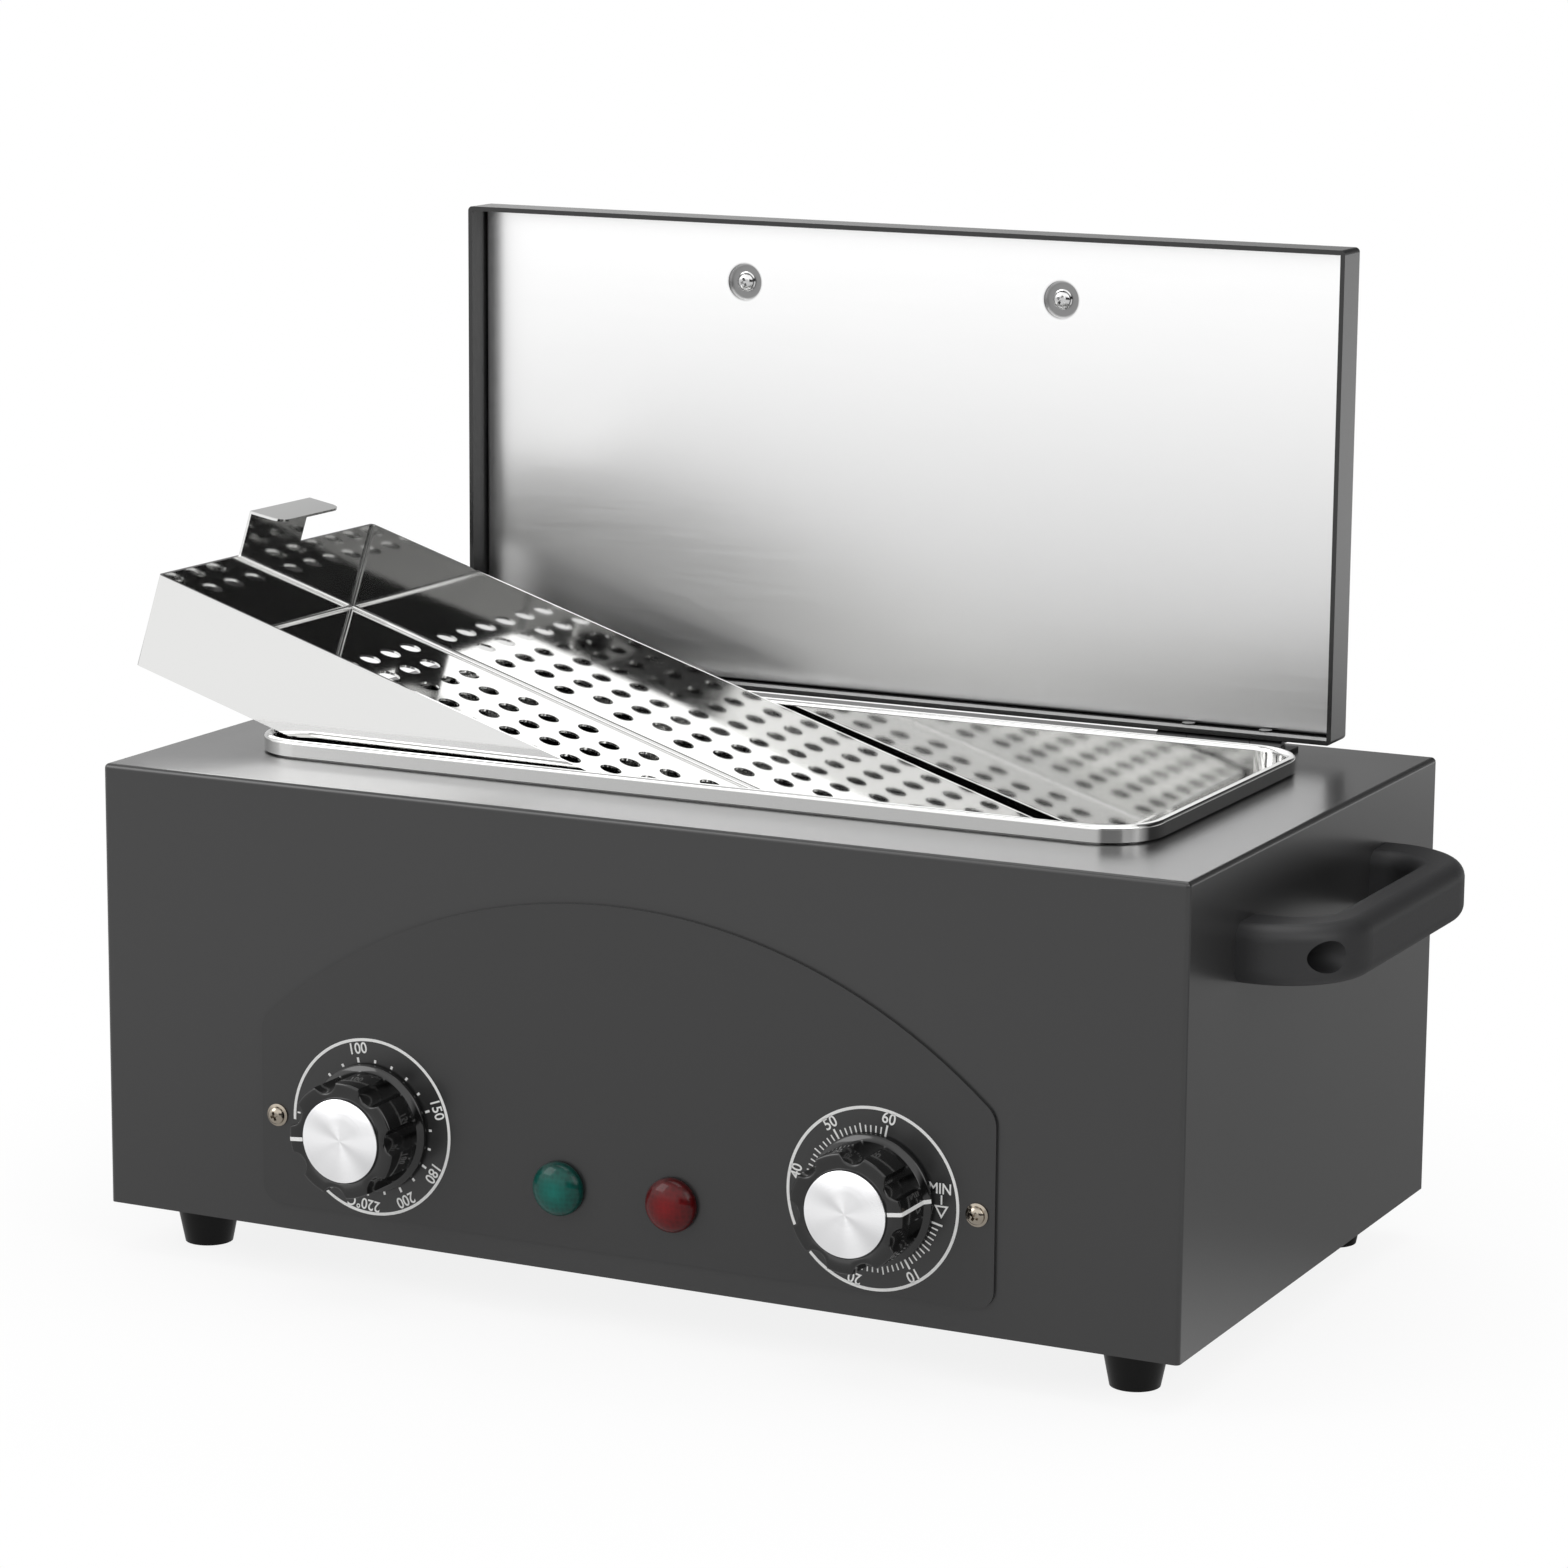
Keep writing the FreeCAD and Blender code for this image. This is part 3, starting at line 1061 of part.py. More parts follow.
turned_body("cord_gland", [
    ("cord_bore / 2", "-gland_inside"),
    ("gland_body / 2", "-gland_inside"),
    ("gland_body / 2", "0"),
    ("gland_flange / 2", "0"),
    ("gland_flange / 2", "gland_flange_height"),
    ("gland_nose / 2", "gland_flange_height"),
    ("gland_nose / 2", "gland_nose_height"),
    ("cord_bore / 2", "gland_nose_height"),
], ("gland_across", rear, gland_level), backward)
turned_body("gland_nut", [
    ("gland_body / 2 + shaft_room", "0"),
    ("gland_nut / 2", "0"),
    ("gland_nut / 2", "gland_nut_height"),
    ("gland_body / 2 + shaft_room", "gland_nut_height"),
], ("gland_across", rear + " - case_gauge", gland_level), forward)
block = new_body("terminal_block")
block_plan = new_sketch(block, "XY_Plane", "case_lift + plate_gauge")
centred_box(block_plan, "block_length", "block_width", "block_across", "block_back")
pad(block, block_plan, "block_height")
wells = new_sketch(block, "XY_Plane", "case_lift + plate_gauge + block_height")
for pole in ("-1.5", "-0.5", "0.5", "1.5"):
    draw_circle(wells, "block_across + %s * block_pitch" % pole, "block_back", "block_well / 2")
pocket(block, wells, "block_well_depth")
edge_screws = []
for side in (-1, 1):
    seat = (side * value("edge_screw_span") / 2, value(rear), value("case_lift + edge_screw_height"))
    edge_screws.append(pan_screw(seat, (0, -1, 0), "edge_screw", "edge_screw_head", "screw_head_height",
                                 "edge_screw_length"))
code_part("edge_screws", Part.makeCompound(edge_screws))

# Tray: a loose basket with a perforated floor and a bent tab. It leans from the floor of the well over the
# rim: its tilt follows from the well's depth and from how far it hangs out.
tray_length = 280  # length of the tray
tray_width = 127  # width of the tray
tray_height = 31  # height of the tray's walls
tray_gauge = 0.8  # sheet of the tray
tray_overhang = 57  # length of the tray beyond the rim
tray_yaw = -1.0  # turn of the tray about the vertical, degrees
tray_back = 1.2  # tray's middle behind the middle of the well
tray_rim_space = 2.65  # gap between the tray's floor and the rim's middle, past its rounded corners
tray_corner = 1.5  # outside radius of the tray's corners
tab_width = 35.5  # width of the tab
tab_rise = 15.4  # height of the tab over the wall
tab_lip = 12.5  # length of the tab's lip
tab_tip = 1.5  # rise of the lip's tip over its bend
tab_corner = 4  # radius of the lip's corners
tab_root = 6  # length of the tab along the wall
hole_diameter = 6.3  # diameter of a drain hole
hole_pitch = 10.9  # from hole to hole across the tray
hole_row = 10.3  # from row to row along the tray
hole_rows = 22  # rows of drain holes
hole_columns = 11  # holes in a full row
hole_sides = 6  # sides of a drain hole's outline
to_sheet(globals())
tilt = math.asin(value("well_depth / (tray_length - tray_overhang)"))
tray_turn = FreeCAD.Rotation(z_axis, value("tray_yaw")) * FreeCAD.Rotation(FreeCAD.Vector(0, 1, 0),
                                                                           math.degrees(tilt))
tray_middle = value(well_floor + " + seat_gap + tray_length / 2 * sin(%.9f rad)" % tilt)
rim_edge = value("well_length / 2 + rim_inner_round")
rim_rise = value(rim_top + " - rim_inner_round") - tray_middle
tray_reach = (rim_rise * math.cos(tilt) + value("rim_inner_round + tray_rim_space")) / math.sin(tilt)
tray_across = tray_reach - rim_edge

tray = new_body("tray")
tray_plan = new_sketch(tray, "XY_Plane")
centred_box(tray_plan, "tray_length", "tray_width")
pad(tray, tray_plan, "tray_height")
round_edges(tray, "tray_corner", lambda e: along(e, 2))
tray_hollow = new_sketch(tray, "XY_Plane")
centred_box(tray_hollow, "tray_length - 2 * tray_gauge", "tray_width - 2 * tray_gauge")
pocket(tray, tray_hollow, "tray_height", reverse=True)
tab_side = new_sketch(tray, "XZ_Plane")
draw_polygon(tab_side, [
    ("-tray_length / 2", "tray_height - tab_root"),
    ("-tray_length / 2", "tray_height + tab_rise"),
    ("-tray_length / 2 + tab_lip", "tray_height + tab_rise + tab_tip"),
    ("-tray_length / 2 + tab_lip", "tray_height + tab_rise + tab_tip - tray_gauge"),
    ("-tray_length / 2 + tray_gauge", "tray_height + tab_rise - tray_gauge"),
    ("-tray_length / 2 + tray_gauge", "tray_height - tab_root"),
])
middle_pad(tray, tab_side, "tab_width")
tip = value("tab_lip - tray_length / 2")
round_edges(tray, "tab_corner", lambda e: along(e, 2) and abs(e.BoundBox.XMin - tip) < flat_limit)
place = ("%.6f" % tray_across, "tray_back", "%.6f" % tray_middle)
put(tray, place, tray_turn)

outline = Part.makePlane(value("tray_length - 2 * tray_gauge"), value("tray_width - 2 * tray_gauge"),
                         FreeCAD.Vector(value("tray_gauge - tray_length / 2"),
                                        value("tray_gauge - tray_width / 2"), 0))
holes = []
columns = int(value("hole_columns"))
rows = int(value("hole_rows"))
sides = int(value("hole_sides"))
for row in range(rows):
    for column in range(columns - row % 2):
        x = (row - (rows - 1) / 2) * value("hole_row")
        y = (column - (columns - 1 - row % 2) / 2) * value("hole_pitch")
        ring = []
        for corner in range(sides + 1):
            angle = 2 * math.pi * corner / sides
            ring.append(FreeCAD.Vector(x + value("hole_diameter") / 2 * math.cos(angle),
                                       y + value("hole_diameter") / 2 * math.sin(angle), 0))
        holes.append(Part.makePolygon(ring))
holed = Part.Face([outline.OuterWire] + holes)
if not holed.isValid():
    holed.fix(flat_limit, flat_limit, flat_limit)
perforated = code_part("tray_floor", holed.extrude(FreeCAD.Vector(0, 0, value("tray_gauge"))))
put(perforated, place, tray_turn)

# Check every sub-part and write one file for each.
doc.recompute()
for thing in doc.Objects:
    if "Invalid" in thing.State or "Error" in thing.State:
        raise RuntimeError("%s doesn't build" % thing.Name)
for part in parts:
    if part.Shape.isNull() or not part.Shape.isValid():
        raise RuntimeError("%s has no valid shape" % part.Label)
os.makedirs("parts", exist_ok=True)
for part in parts:
    part.Shape.exportStep("parts/%s.step" % part.Label)
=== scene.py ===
import math
import bmesh
import bpy
from mathutils import Matrix, Vector


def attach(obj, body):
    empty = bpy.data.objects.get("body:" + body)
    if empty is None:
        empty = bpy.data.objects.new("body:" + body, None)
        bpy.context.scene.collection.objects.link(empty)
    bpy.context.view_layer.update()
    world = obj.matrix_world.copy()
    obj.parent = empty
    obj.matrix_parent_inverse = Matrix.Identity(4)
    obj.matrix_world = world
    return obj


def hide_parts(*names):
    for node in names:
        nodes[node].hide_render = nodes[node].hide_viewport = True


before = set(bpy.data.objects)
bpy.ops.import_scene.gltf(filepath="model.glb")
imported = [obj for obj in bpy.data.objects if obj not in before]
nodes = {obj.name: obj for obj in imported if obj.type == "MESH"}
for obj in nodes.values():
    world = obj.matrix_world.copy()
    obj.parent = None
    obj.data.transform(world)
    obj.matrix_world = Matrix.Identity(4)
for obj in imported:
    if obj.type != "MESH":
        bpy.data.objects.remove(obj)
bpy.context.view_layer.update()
bpy.ops.object.select_all(action="DESELECT")

# Camera: a long lens that looks from the right of the front and a little from above, as a catalogue
# picture is taken. Its place, its three turns and its focal length were found from the corners of the
# case in the photo.
camera_place = Vector((0.6830, -1.3797, 0.4559))
camera_turn = math.radians(26.24)
camera_height = math.radians(11.33)
camera_roll = math.radians(0.45)
focal_length = 115.8
sensor_width = 36
farthest_seen = 50
back = Vector((math.sin(camera_turn) * math.cos(camera_height),
               -math.cos(camera_turn) * math.cos(camera_height),
               math.sin(camera_height)))
right = Vector((math.cos(camera_turn), math.sin(camera_turn), 0))
up = back.cross(right)
rolled_right = math.cos(camera_roll) * right + math.sin(camera_roll) * up
rolled_up = math.cos(camera_roll) * up - math.sin(camera_roll) * right
lens = bpy.data.cameras.new("camera")
lens.lens = focal_length
lens.sensor_width = sensor_width
lens.clip_end = farthest_seen
camera = bpy.data.objects.new("camera", lens)
bpy.context.scene.collection.objects.link(camera)
camera_axes = Matrix((rolled_right, rolled_up, back)).transposed()
camera.matrix_world = Matrix.Translation(camera_place) @ camera_axes.to_4x4()
bpy.context.scene.camera = camera
bpy.context.scene.view_settings.view_transform = "Standard"


# Studio: a white room to the camera, a room of lighter and darker walls to what mirrors it, and an even
# light on all else. A black card at the right of the front lets polished sheet show its folds, and the
# floor is white paper that keeps the soft shadow under the feet. Three softboxes hang round the part.
class Wire:
    """A shader socket that takes part in plain arithmetic, and that can feed any other node."""

    def __init__(self, tree, socket=None):
        self.tree = tree
        self.socket = socket

    def node(self, kind, settings=None, inputs=None, output=0):
        made = self.tree.nodes.new("ShaderNode" + kind)
        for name, setting in (settings or {}).items():
            if name == "stops":
                ramp = made.color_ramp
                while len(ramp.elements) < len(setting):
                    ramp.elements.new(1)
                for element, (place, shade) in zip(ramp.elements, setting):
                    element.position = place
                    element.color = (shade, shade, shade, 1)
            else:
                setattr(made, name, setting)
        for name, given in (inputs or {}).items():
            if isinstance(given, Wire):
                self.tree.links.new(given.socket, made.inputs[name])
            else:
                made.inputs[name].default_value = given
        return Wire(self.tree, made.outputs[output] if made.outputs else None)

    def maths(self, operation, *values):
        return self.node("Math", {"operation": operation}, dict(enumerate(values)))

    def __add__(self, other):
        return self.maths("ADD", self, other)

    __radd__ = __add__

    def __mul__(self, other):
        return self.maths("MULTIPLY", self, other)

    __rmul__ = __mul__

    def __sub__(self, other):
        return self.maths("SUBTRACT", self, other)

    def __rsub__(self, other):
        return self.maths("SUBTRACT", other, self)

    def clipped(self):
        return self.node("Clamp", {}, {"Value": self})


def new_material(name):
    """A material without nodes, and a wire to start its nodes from."""
    material = bpy.data.materials.new(name)
    material.use_nodes = True
    material.node_tree.nodes.clear()
    return material, Wire(material.node_tree)


def surface(start, shader):
    """Lead a shader to the material's output."""
    start.node("OutputMaterial", {}, {"Surface": shader})


world = bpy.data.worlds.new("studio")
bpy.context.scene.world = world
world.use_nodes = True
world.node_tree.nodes.clear()
sky = Wire(world.node_tree)
seen = sky.node("LightPath", output="Is Camera Ray")
mirrored = sky.node("LightPath", output="Is Glossy Ray")
through = sky.node("LightPath", output="Is Transmission Ray")
direction = sky.node("TexCoord", output="Generated")
across = sky.node("SeparateXYZ", {}, {0: direction}, output="X")
behind = sky.node("SeparateXYZ", {}, {0: direction}, output="Y")
height = sky.node("SeparateXYZ", {}, {0: direction}, output="Z")
from_level = sky.maths("ABSOLUTE", height)
wall_stops = [(0.0, 0.60), (0.14, 0.45), (0.22, 0.24), (0.34, 0.05), (0.6, 0.04), (0.8, 0.6), (0.92, 1.0)]
far_wall = sky.node("ValToRGB", {"stops": wall_stops}, {"Fac": height}) * (0.65 - across * 0.6).clipped()
left_window = ((-0.3 - across) * 6.0).clipped() * (height * 4.0).clipped() * 0.55
card_right = ((across - 0.1) * 6.0).clipped()
black_card = card_right * (behind * -3.0).clipped() * (2.0 - from_level * 5.0).clipped()
front_wall = 1 + (height * 6.0).clipped() * (behind * -2.0).clipped() * 0.75
far = (behind * 3.0).clipped()
ceiling = (height * 6.0 - 4.5).clipped()
least_light = 0.012
room = (1 - far) * front_wall * (1 - black_card) + far * (far_wall + left_window)
room = room * (1 - ceiling * 0.5) + least_light
plain = sky.node("Background", {}, {"Color": (1, 1, 1, 1), "Strength": 0.5})
bright = sky.node("Background", {}, {"Color": (1, 1, 1, 1), "Strength": 1.0})
reflected = sky.node("Background", {}, {"Color": room, "Strength": 1.0})
lit = sky.node("MixShader", {}, {0: (mirrored + through).clipped(), 1: plain, 2: reflected})
sky.node("OutputWorld", {}, {"Surface": sky.node("MixShader", {}, {0: seen, 1: lit, 2: bright})})

floor_size = 12.0
floor_drop = 0.0004
bpy.ops.mesh.primitive_plane_add(size=floor_size, location=(0, 0, -floor_drop))
floor = bpy.context.object
floor.name = "studio_floor"
paper, start = new_material("white_paper")
seen = start.node("LightPath", output="Is Camera Ray")
mirrored = start.node("LightPath", output="Is Glossy Ray")
place = start.node("TexCoord", output="Object")
distance = start.node("VectorMath", {"operation": "LENGTH"}, {0: place}, output="Value")
# Painted shade: in mirrors the floor is painted darker near the part, where its shade lies, and darker
# behind it.
mirrored_floor_painted_shade = start.node("ValToRGB", {"stops": [(0.0, 0.72), (0.06, 0.85), (0.12, 0.97), (0.24, 1.0)]},
                  {"Fac": distance * 0.2})
rearward = start.node("SeparateXYZ", {}, {0: place}, output="Y")
mirrored_floor_painted_shade = mirrored_floor_painted_shade * (1 - (rearward * 5.0 + 0.6).clipped() * (2.5 - rearward * 2.0).clipped() * 0.66)
clear = start.node("ValToRGB", {"stops": [(0.0, 0.86), (0.16, 0.86), (0.32, 1.0)]}, {"Fac": distance})
chalk = start.node("BsdfDiffuse", {}, {"Color": (0.9, 0.9, 0.9, 1)})
white = start.node("Emission", {}, {"Color": (1, 1, 1, 1), "Strength": 1.0})
dim = start.node("Emission", {}, {"Color": mirrored_floor_painted_shade, "Strength": 1.0})
camera_sees = start.node("MixShader", {}, {0: seen * clear, 1: chalk, 2: white})
surface(start, start.node("MixShader", {}, {0: mirrored, 1: camera_sees, 2: dim}))
floor.data.materials.append(paper)

softbox_aim = Vector((0, 0, 0.1))
for name, place, size, power in (
    ("softbox_left", (-1.9, -1.7, 1.7), 1.6, 24),
    ("softbox_right", (2.4, -0.9, 1.5), 1.6, 13),
    ("softbox_top", (0.1, 0.2, 2.3), 1.8, 22),
):
    light = bpy.data.lights.new(name, "AREA")
    light.size = size
    light.energy = power
    softbox = bpy.data.objects.new(name, light)
    bpy.context.scene.collection.objects.link(softbox)
    softbox.location = place
    softbox.rotation_euler = (softbox_aim - Vector(place)).to_track_quat("-Z", "Y").to_euler()


# Case: one box of folded steel sheet under a dark grey powder coat with a fine satin grain. A bottom
# plate of the same sheet closes it from below, held by the feet's screws and two screws in the rear
# edge.
def powder_coat(name, shade, sheen, grain):
    """Baked paint with a fine grain under a smoother skin."""
    material, start = new_material(name)
    place = start.node("TexCoord", output="Object")
    pores = start.node("TexNoise", {}, {"Vector": place, "Scale": grain, "Detail": 3.0, "Roughness": 0.6})
    clouds = start.node("TexNoise", {}, {"Vector": place, "Scale": 9.0, "Detail": 2.0})
    tone = start.node("Mix", {"data_type": "RGBA"}, {
        "Factor": clouds,
        6: (shade * 0.94, shade * 0.94, shade * 0.95, 1),
        7: (shade * 1.06, shade * 1.06, shade * 1.07, 1),
    }, output=2)
    bump = start.node("Bump", {}, {"Strength": 0.1, "Distance": 0.0002, "Height": pores})
    surface(start, start.node("BsdfPrincipled", {}, {
        "Base Color": tone,
        "Roughness": pores * 0.1 + (sheen - 0.05),
        "Specular IOR Level": 0.18,
        "Coat Weight": 1.0,
        "Coat Roughness": 0.24,
        "Coat IOR": 1.42,
        "Normal": bump,
    }))
    return material


smooth_below = 32


def dress(material, *names):
    """Give CAD nodes that keep their own shape a new finish."""
    for name in names:
        node = nodes[name]
        node.data.materials.clear()
        node.data.materials.append(material)
        bpy.ops.object.select_all(action="DESELECT")
        node.select_set(True)
        bpy.context.view_layer.objects.active = node
        bpy.ops.object.shade_smooth_by_angle(angle=math.radians(smooth_below))
        node.select_set(False)


case_paint = powder_coat("case_powder_coat", shade=0.024, sheen=0.36, grain=2600.0)
dress(case_paint, "housing", "bottom_plate")


# Feet: four tapered cups moulded in black rubber, one near each corner. A screw passes up through each
# of them into the bottom plate, with its head sunk in the foot.
def plain_finish(name, colour, metallic, sheen, grain, grain_depth, spread=0.12, gloss=0.5):
    """A finish of one colour, which varies a little with its grain."""
    material, start = new_material(name)
    place = start.node("TexCoord", output="Object")
    pores = start.node("TexNoise", {}, {"Vector": place, "Scale": grain, "Detail": 4.0})
    tone = start.node("Mix", {"data_type": "RGBA"}, {
        "Factor": pores,
        6: (*[part * (1 - spread) for part in colour], 1),
        7: (*[part * (1 + spread) for part in colour], 1),
    }, output=2)
    bump = start.node("Bump", {}, {"Strength": 0.3, "Distance": grain_depth, "Height": pores})
    surface(start, start.node("BsdfPrincipled", {}, {
        "Base Color": tone,
        "Metallic": metallic,
        "Specular IOR Level": gloss,
        "Roughness": pores * 0.1 + (sheen - 0.05),
        "Normal": bump,
    }))
    return material


rubber = plain_finish("foot_rubber", (0.005, 0.005, 0.005), metallic=0.0, sheen=0.38, grain=900.0,
                      grain_depth=0.0001, gloss=0.15)
dress(rubber, "foot_front_left", "foot_front_right", "foot_rear_left", "foot_rear_right")


# Well: a pan deep-drawn from polished stainless sheet, which hangs in the opening of the case by its
# rolled rim. The walls keep slight waves from the drawing, and fine lines from the rolling of the sheet.
def polished_steel(name, shade, sheen, dent, dent_scale=7.0):
    """Polished sheet whose slight waves bend what it mirrors."""
    material, start = new_material(name)
    place = start.node("TexCoord", output="Object")
    stretched = start.node("Mapping", {}, {"Vector": place, "Scale": (1.0, 60.0, 60.0)})
    rolling = start.node("TexNoise", {}, {"Vector": stretched, "Scale": 14.0, "Detail": 4.0})
    waves = start.node("TexNoise", {}, {"Vector": place, "Scale": dent_scale, "Detail": 1.0})
    bump = start.node("Bump", {}, {"Strength": 1.0, "Distance": dent, "Height": waves})
    surface(start, start.node("BsdfPrincipled", {}, {
        "Base Color": (shade, shade, shade * 0.99, 1),
        "Metallic": 1.0,
        "Roughness": rolling * 0.05 + sheen,
        "Normal": bump,
    }))
    return material


well_steel = polished_steel("well_polished_steel", shade=0.66, sheen=0.03, dent=0.0003)
dress(well_steel, "well_pan")


# Insulation: a blanket of pale mineral felt round the well, cut to the space inside the case. A second
# one lies between the lid's shell and its liner.
felt = plain_finish("insulation_felt", (0.7, 0.66, 0.58), metallic=0.0, sheen=0.95, grain=500.0,
                    grain_depth=0.0008)
dress(felt, "well_insulation", "lid_insulation")


# Heater: a bent tube with a steel sheath under the floor of the well. Two bars hold it up, with nuts on
# studs that are welded to the well, and the thermostat's bulb lies beside it.
heater_steel = plain_finish("heater_steel", (0.45, 0.44, 0.42), metallic=1.0, sheen=0.4, grain=700.0,
                            grain_depth=0.00005)
zinc = plain_finish("zinc_plating", (0.58, 0.58, 0.56), metallic=1.0, sheen=0.3, grain=900.0,
                    grain_depth=0.00005)
dress(heater_steel, "heater_tube", "heater_clamp_left", "heater_clamp_right", "thermostat_bulb")
dress(zinc, "heater_studs", "heater_nuts", "lid_handle_nuts", "side_handle_nuts", "thermostat_screws",
      "timer_screws")


# Control panel: a separate plate of painted sheet with an arched top, a little darker and smoother than
# the case. Two screws hold it to the front of the case.
panel_paint = powder_coat("panel_powder_coat", shade=0.018, sheen=0.38, grain=3200.0)
dress(panel_paint, "control_panel")


# Screws: pan heads of nickel-plated steel with a cross recess, in the panel, the rear edge and the feet.
# One of each size is turned and has its recess pressed in, and the others are copies of it.
nickel = plain_finish("nickel_plating", (0.30, 0.265, 0.22), metallic=1.0, sheen=0.14, grain=900.0,
                      grain_depth=0.00005)
mm = 0.001
merge_gap = mm * 0.002


def begin(name):
    """Start a piece as one point at the origin, in edit mode."""
    bpy.ops.object.select_all(action="DESELECT")
    bpy.ops.mesh.primitive_plane_add(size=mm)
    piece = bpy.context.object
    piece.name = name
    piece.data.name = name
    bpy.ops.object.mode_set(mode="EDIT")
    bpy.ops.mesh.merge(type="CENTER")
    return piece


def draw(points):
    """Move the starting point to the first place in mm, and extrude it on from place to place."""
    bpy.ops.transform.translate(value=Vector(points[0]) * mm)
    for here, there in zip(points, points[1:]):
        step = (Vector(there) - Vector(here)) * mm
        bpy.ops.mesh.extrude_region_move(TRANSFORM_OT_translate={"value": step})


def turned(name, outline, steps):
    """A closed piece turned on the Z axis, from an outline of radii and heights that ends on the axis."""
    piece = begin(name)
    draw([(radius, 0, height) for radius, height in outline])
    bpy.ops.mesh.select_all(action="SELECT")
    bpy.ops.mesh.spin(steps=steps, angle=2 * math.pi, center=(0, 0, 0), axis=(0, 0, 1))
    bpy.ops.mesh.select_all(action="SELECT")
    bpy.ops.mesh.remove_doubles(threshold=merge_gap)
    bpy.ops.mesh.normals_make_consistent(inside=False)
    bpy.ops.object.mode_set(mode="OBJECT")
    return piece


def apply(piece, kind, **settings):
    """Give a piece one modifier and apply it."""
    bpy.ops.object.select_all(action="DESELECT")
    piece.select_set(True)
    bpy.context.view_layer.objects.active = piece
    modifier = piece.modifiers.new(kind.lower(), kind)
    for name, setting in settings.items():
        setattr(modifier, name, setting)
    bpy.ops.object.modifier_apply(modifier=modifier.name)


def remove(piece):
    """Take a helper piece and its mesh away."""
    mesh = piece.data
    bpy.data.objects.remove(piece)
    bpy.data.meshes.remove(mesh)


def copied(piece, name, matrix):
    """A copy of a piece with its own mesh, moved in its mesh."""
    other = piece.copy()
    other.data = piece.data.copy()
    other.name = name
    other.data.name = name
    bpy.context.scene.collection.objects.link(other)
    other.data.transform(matrix)
    return other


def joined(name, pieces):
    """Several pieces as one."""
    bpy.ops.object.select_all(action="DESELECT")
    for piece in pieces:
        piece.select_set(True)
    bpy.context.view_layer.objects.active = pieces[0]
    bpy.ops.object.join()
    pieces[0].name = name
    pieces[0].data.name = name
    return pieces[0]


def fit(piece, body, material, slot, *replaced, crease=smooth_below):
    """Finish a piece: its material, its shading, the body it rides on and the CAD nodes it stands for."""
    piece.data.materials.clear()
    piece.data.materials.append(material)
    bpy.ops.object.select_all(action="DESELECT")
    piece.select_set(True)
    bpy.context.view_layer.objects.active = piece
    bpy.ops.object.shade_smooth_by_angle(angle=math.radians(crease))
    piece.select_set(False)
    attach(piece, body)
    if replaced:
        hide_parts(*replaced)


def pan_screw(name, shank, length, head, height, flange):
    """A screw along Z with its head on the plane through the origin, and a cross recess in its dome."""
    dome = head - flange
    point_height = 0.8
    point_share = 0.36
    dome_shares = ((0.5, 0.3), (0.48, 0.62), (0.38, 0.86), (0.22, 0.97), (0, 1))
    outline = [(0, -length), (shank * point_share, -length), (shank * 0.5, point_height - length),
               (shank * 0.5, 0), (head * 0.5, 0), (head * 0.5, height * 0.2)]
    outline += [(dome * out_share, height * height_share) for out_share, height_share in dome_shares]
    screw = turned(name, outline, 40)
    arm = dome * 0.36
    width = dome * 0.085
    cross_turn = 0.35
    for turn in (cross_turn, cross_turn + math.pi / 2):
        bpy.ops.object.select_all(action="DESELECT")
        bpy.ops.mesh.primitive_cube_add(size=2 * mm, location=(0, 0, 0))
        cutter = bpy.context.object
        bpy.ops.object.mode_set(mode="EDIT")
        bpy.ops.transform.resize(value=(arm, width, height * 0.5))
        bpy.ops.mesh.select_all(action="DESELECT")
        shape = bmesh.from_edit_mesh(cutter.data)
        for face in shape.faces:
            if face.normal.z < -0.5:
                face.select_set(True)
        bmesh.update_edit_mesh(cutter.data)
        bpy.ops.transform.resize(value=(0.45, 0.8, 1))
        bpy.ops.object.mode_set(mode="OBJECT")
        cutter_lift = Matrix.Translation((0, 0, height * 0.98 * mm))
        cutter.data.transform(cutter_lift @ Matrix.Rotation(turn, 4, "Z"))
        apply(screw, "BOOLEAN", operation="DIFFERENCE", object=cutter, solver="EXACT")
        remove(cutter)
    return screw


def facing(place, axis, spin=0.0):
    """The matrix that carries a piece made along Z to a place in mm, to point along an axis."""
    turn = Vector((0, 0, 1)).rotation_difference(Vector(axis)).to_matrix().to_4x4()
    return Matrix.Translation(Vector(place) * mm) @ turn @ Matrix.Rotation(spin, 4, "Z")


def screw_set(name, body, replaced, made, places, axis, finish=nickel):
    """Copies of one screw at several places, each turned a little further, joined to one piece."""
    each_turn = 0.7
    copies = [copied(made, name, facing(place, axis, each_turn * number))
              for number, place in enumerate(places)]
    remove(made)
    fit(joined(name, copies), body, finish, "plated_screws", replaced)


case_low = 15
case_rear = 104
panel_face = -105
panel_screw_across = 117.5
panel_screw_level = case_low + 36.2
edge_screw_across = 140
edge_screw_level = case_low + 5
foot_across = 158
foot_along = 82
foot_seat = 9
panel_screw = pan_screw("panel_screw", shank=4, length=9, head=7, height=2.4, flange=1.5)
screw_set("panel_pan_screws", "case", "panel_screws", panel_screw,
          [(side * panel_screw_across, panel_face, panel_screw_level) for side in (-1, 1)], (0, -1, 0))
edge_screw = pan_screw("edge_screw", shank=3.5, length=9, head=7, height=2.4, flange=1.2)
screw_set("rear_edge_screws", "case", "edge_screws", edge_screw,
          [(side * edge_screw_across, case_rear, edge_screw_level) for side in (-1, 1)], (0, 1, 0))
foot_screw = pan_screw("foot_screw", shank=4, length=13, head=7.8, height=2.6, flange=0.6)
screw_set("foot_pan_screws", "case", "foot_screws", foot_screw,
          [(side * foot_across, end * foot_along, foot_seat) for side in (-1, 1) for end in (-1, 1)],
          (0, 0, -1))


